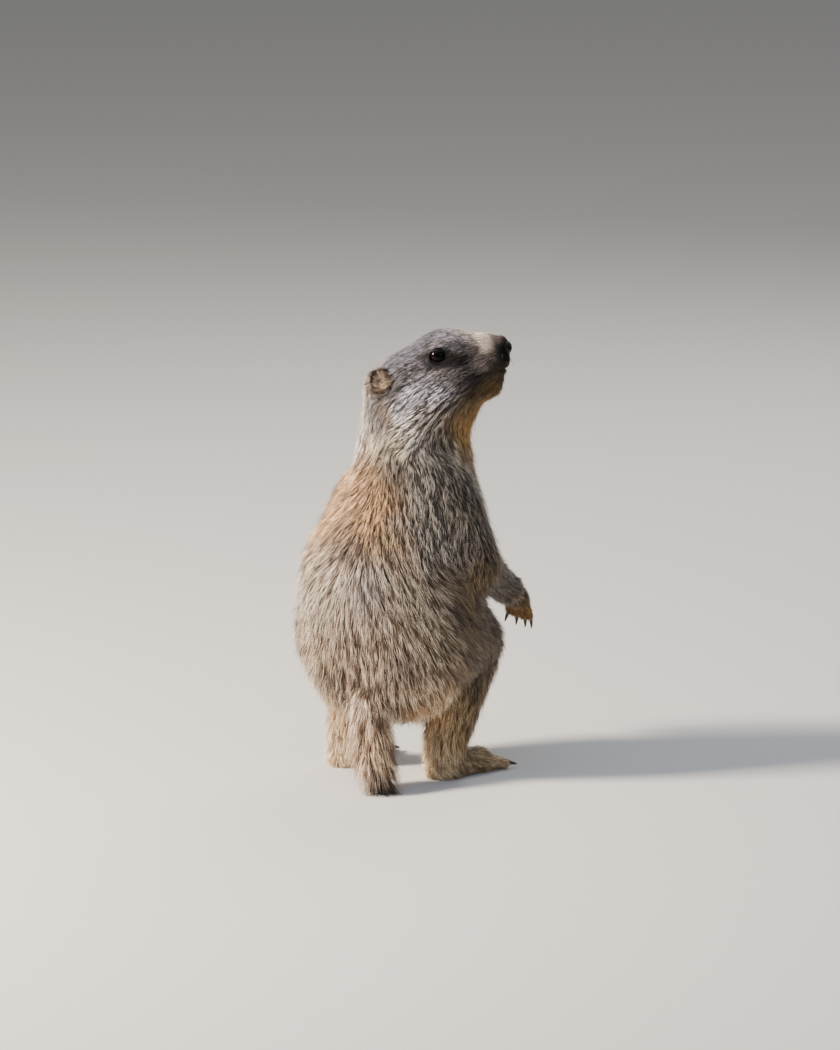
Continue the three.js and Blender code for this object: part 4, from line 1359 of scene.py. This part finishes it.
# %% Nose leather and claw horn
nose_skin, tree, surface = new_material(
    "damp nose skin", Base_Color=(*linear("#120e0d"), 1), Roughness=0.55, Specular_IOR_Level=0.3)
place = add_node(tree, "ShaderNodeTexCoord")
pebbles = add_node(tree, "ShaderNodeTexVoronoi", {
    "Vector": place.outputs["Object"], "Scale": 1 / (0.8 * MM)})
bump = add_node(tree, "ShaderNodeBump", {
    "Height": pebbles.outputs[0], "Distance": 0.25 * MM, "Strength": 0.8}, invert=True)
tree.links.new(bump.outputs[0], surface.inputs["Normal"])
nose.data.materials.append(nose_skin)
horn, tree, surface = new_material("claw horn", Roughness=0.35, Specular_IOR_Level=0.5)
place = add_node(tree, "ShaderNodeTexCoord")
along_claw = add_node(tree, "ShaderNodeMapping", {
    "Vector": place.outputs["Object"], "Scale": (0.25, 1.0, 0.25)})
streaks = add_node(tree, "ShaderNodeTexNoise", {"Vector": along_claw.outputs[0], "Scale": 1 / (0.6 * MM)})
colour = add_node(tree, "ShaderNodeMix", {
    0: streaks.outputs[0], 6: (*linear("#1d1511"), 1), 7: (*linear("#4a3a2d"), 1)}, data_type="RGBA")
tree.links.new(colour.outputs[2], surface.inputs["Base Color"])
for node, claw in claws:
    claw.data.materials.append(horn)
print("claws covered", len(claws))

# %% [markdown]
# Whiskers grow in rows from the pads beside the nose, with a few more over the eye. Each is a stiff
# dark bristle that bends down and back under its own weight.

# %% Whiskers
WHISKER_WIDTH = 0.34
WHISKER_STEPS = 7
rng = np.random.default_rng(51)
starts, ways, whisker_lengths = [], [], []
for sign in SIDES.values():
    for row in range(3):
        for column in range(4):
            start = np.array([38.5 - 3.4 * column, sign * (9.5 + 1.3 * column), -17.5 - 3.2 * row])
            way = np.array([0.15 - 0.28 * column, sign * 1.0, 0.12 - 0.16 * row])
            starts.append(start + rng.normal(size=3) * 0.4)
            ways.append(way + rng.normal(size=3) * 0.10)
            whisker_lengths.append(24 + 4.5 * column + rng.uniform(-3, 3))
    for i in range(3):
        starts.append(np.array([-1 + 4 * i, sign * 18.0, 10.5 - i]))
        ways.append(np.array([-0.5, sign * 0.5, 0.8]) + rng.normal(size=3) * 0.12)
        whisker_lengths.append(15 + rng.uniform(-3, 3))
starts = np.array([from_head(*s) for s in starts])
ways = unit(np.array(ways) @ HEAD_AXES)
skin_tree = BVHTree.FromPolygons(
    [v.co / MM for v in skin.data.vertices], [p.vertices[:] for p in skin.data.polygons])
starts = np.array([skin_tree.find_nearest(s)[0] for s in starts])
t = np.linspace(0, 1, WHISKER_STEPS + 1)[None, :, None]
reach = np.array(whisker_lengths)[:, None, None]
centres = starts[:, None] + ways[:, None] * reach * t + np.array([0, 0, -0.16]) * reach * t ** 2
widths = np.full(len(starts), WHISKER_WIDTH)
sideways = unit(np.cross(ways, (0, 0, 1.0)))
points, triangles, *_ = spikes(centres, sideways, widths, 1.0, sides=4)
whiskers = mesh_of("whiskers", points.reshape(-1, 3), triangles)
bristle, tree, surface = new_material(
    "whisker bristle", Base_Color=(*linear("#2a221d"), 1), Roughness=0.35, Specular_IOR_Level=0.5)
whiskers.data.materials.append(bristle)
print("whiskers", len(starts))

# %% [markdown]
# Each piece is said to ride on the one rigid body and replaces the solid it stands for. The one skin
# replaces all the solids of the flesh.

# %% What each piece stands for
for piece, slot_name in fur_pieces:
    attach(piece, "root")
others = [(skin, "brown_fur", [*FLESH, "tail"]), (nose, "nose_skin", []), (whiskers, "slate_fur", [])]
for side in SIDES:
    others.append((ears[side], "ear_fur", [f"ear_{side}"]))
    others.append((eyes[side], "eye", [f"eye_{side}"]))
    others.append((lids[side], "nose_skin", []))
others += [(claw, "claw_horn", [node]) for node, claw in claws]
for piece, slot_name, nodes in others:
    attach(piece, "root")
    if nodes:
        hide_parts(*nodes)
print("pieces", len(fur_pieces) + len(others))

# %% [markdown]
# The model stands on a plain pale floor in a soft studio: a warm key light at the left of the camera, a
# wide cool one above it, a weak fill at its right, and a rim light behind that lifts the coat's tips.

# %% Floor and light
FLOOR_SIZE = 60  # m
bm = bmesh.new()
bmesh.ops.create_grid(bm, x_segments=1, y_segments=1, size=FLOOR_SIZE / 2)
floor = to_object(bm, "floor")
matt, tree, surface = new_material(
    "matt paper floor", Base_Color=(*linear("#d6d4cf"), 1), Roughness=0.9, Specular_IOR_Level=0.2)
floor.data.materials.append(matt)
world = bpy.data.worlds.new("studio")
world.use_nodes = True
sky = world.node_tree.nodes["Background"]
sky.inputs["Color"].default_value = (*linear("#dfe3e8"), 1)
sky.inputs["Strength"].default_value = 0.3
bpy.context.scene.world = world


def area_light(name, way, distance, size, power, colour):
    data = bpy.data.lights.new(name, "AREA")
    data.size, data.energy, data.color = size, power, linear(colour)
    light = bpy.data.objects.new(name, data)
    light.matrix_world = way.to_track_quat("Z", "Y").to_matrix().to_4x4()
    light.matrix_world.translation = aim + way.normalized() * distance
    bpy.context.scene.collection.objects.link(light)


LIGHTS = [  # name, way from the aim, distance and size in metres, watts, colour
    ("key", -right * 1.0 + above * 0.46 + back * 0.36, 2.2, 0.45, 190, "#fff1e0"),
    ("fill", right * 0.7 + above * 0.3 + back * 0.9, 2.6, 1.4, 6, "#eaf0ff"),
    ("sky", -right * 0.25 + above * 1.0 + back * 0.6, 2.2, 1.6, 16, "#c4d6ff"),
    ("rim", right * 0.3 + above * 0.9 - back * 0.8, 2.2, 0.9, 18, "#ffffff")]
for light in LIGHTS:
    area_light(*light)
print("lights", len(LIGHTS))
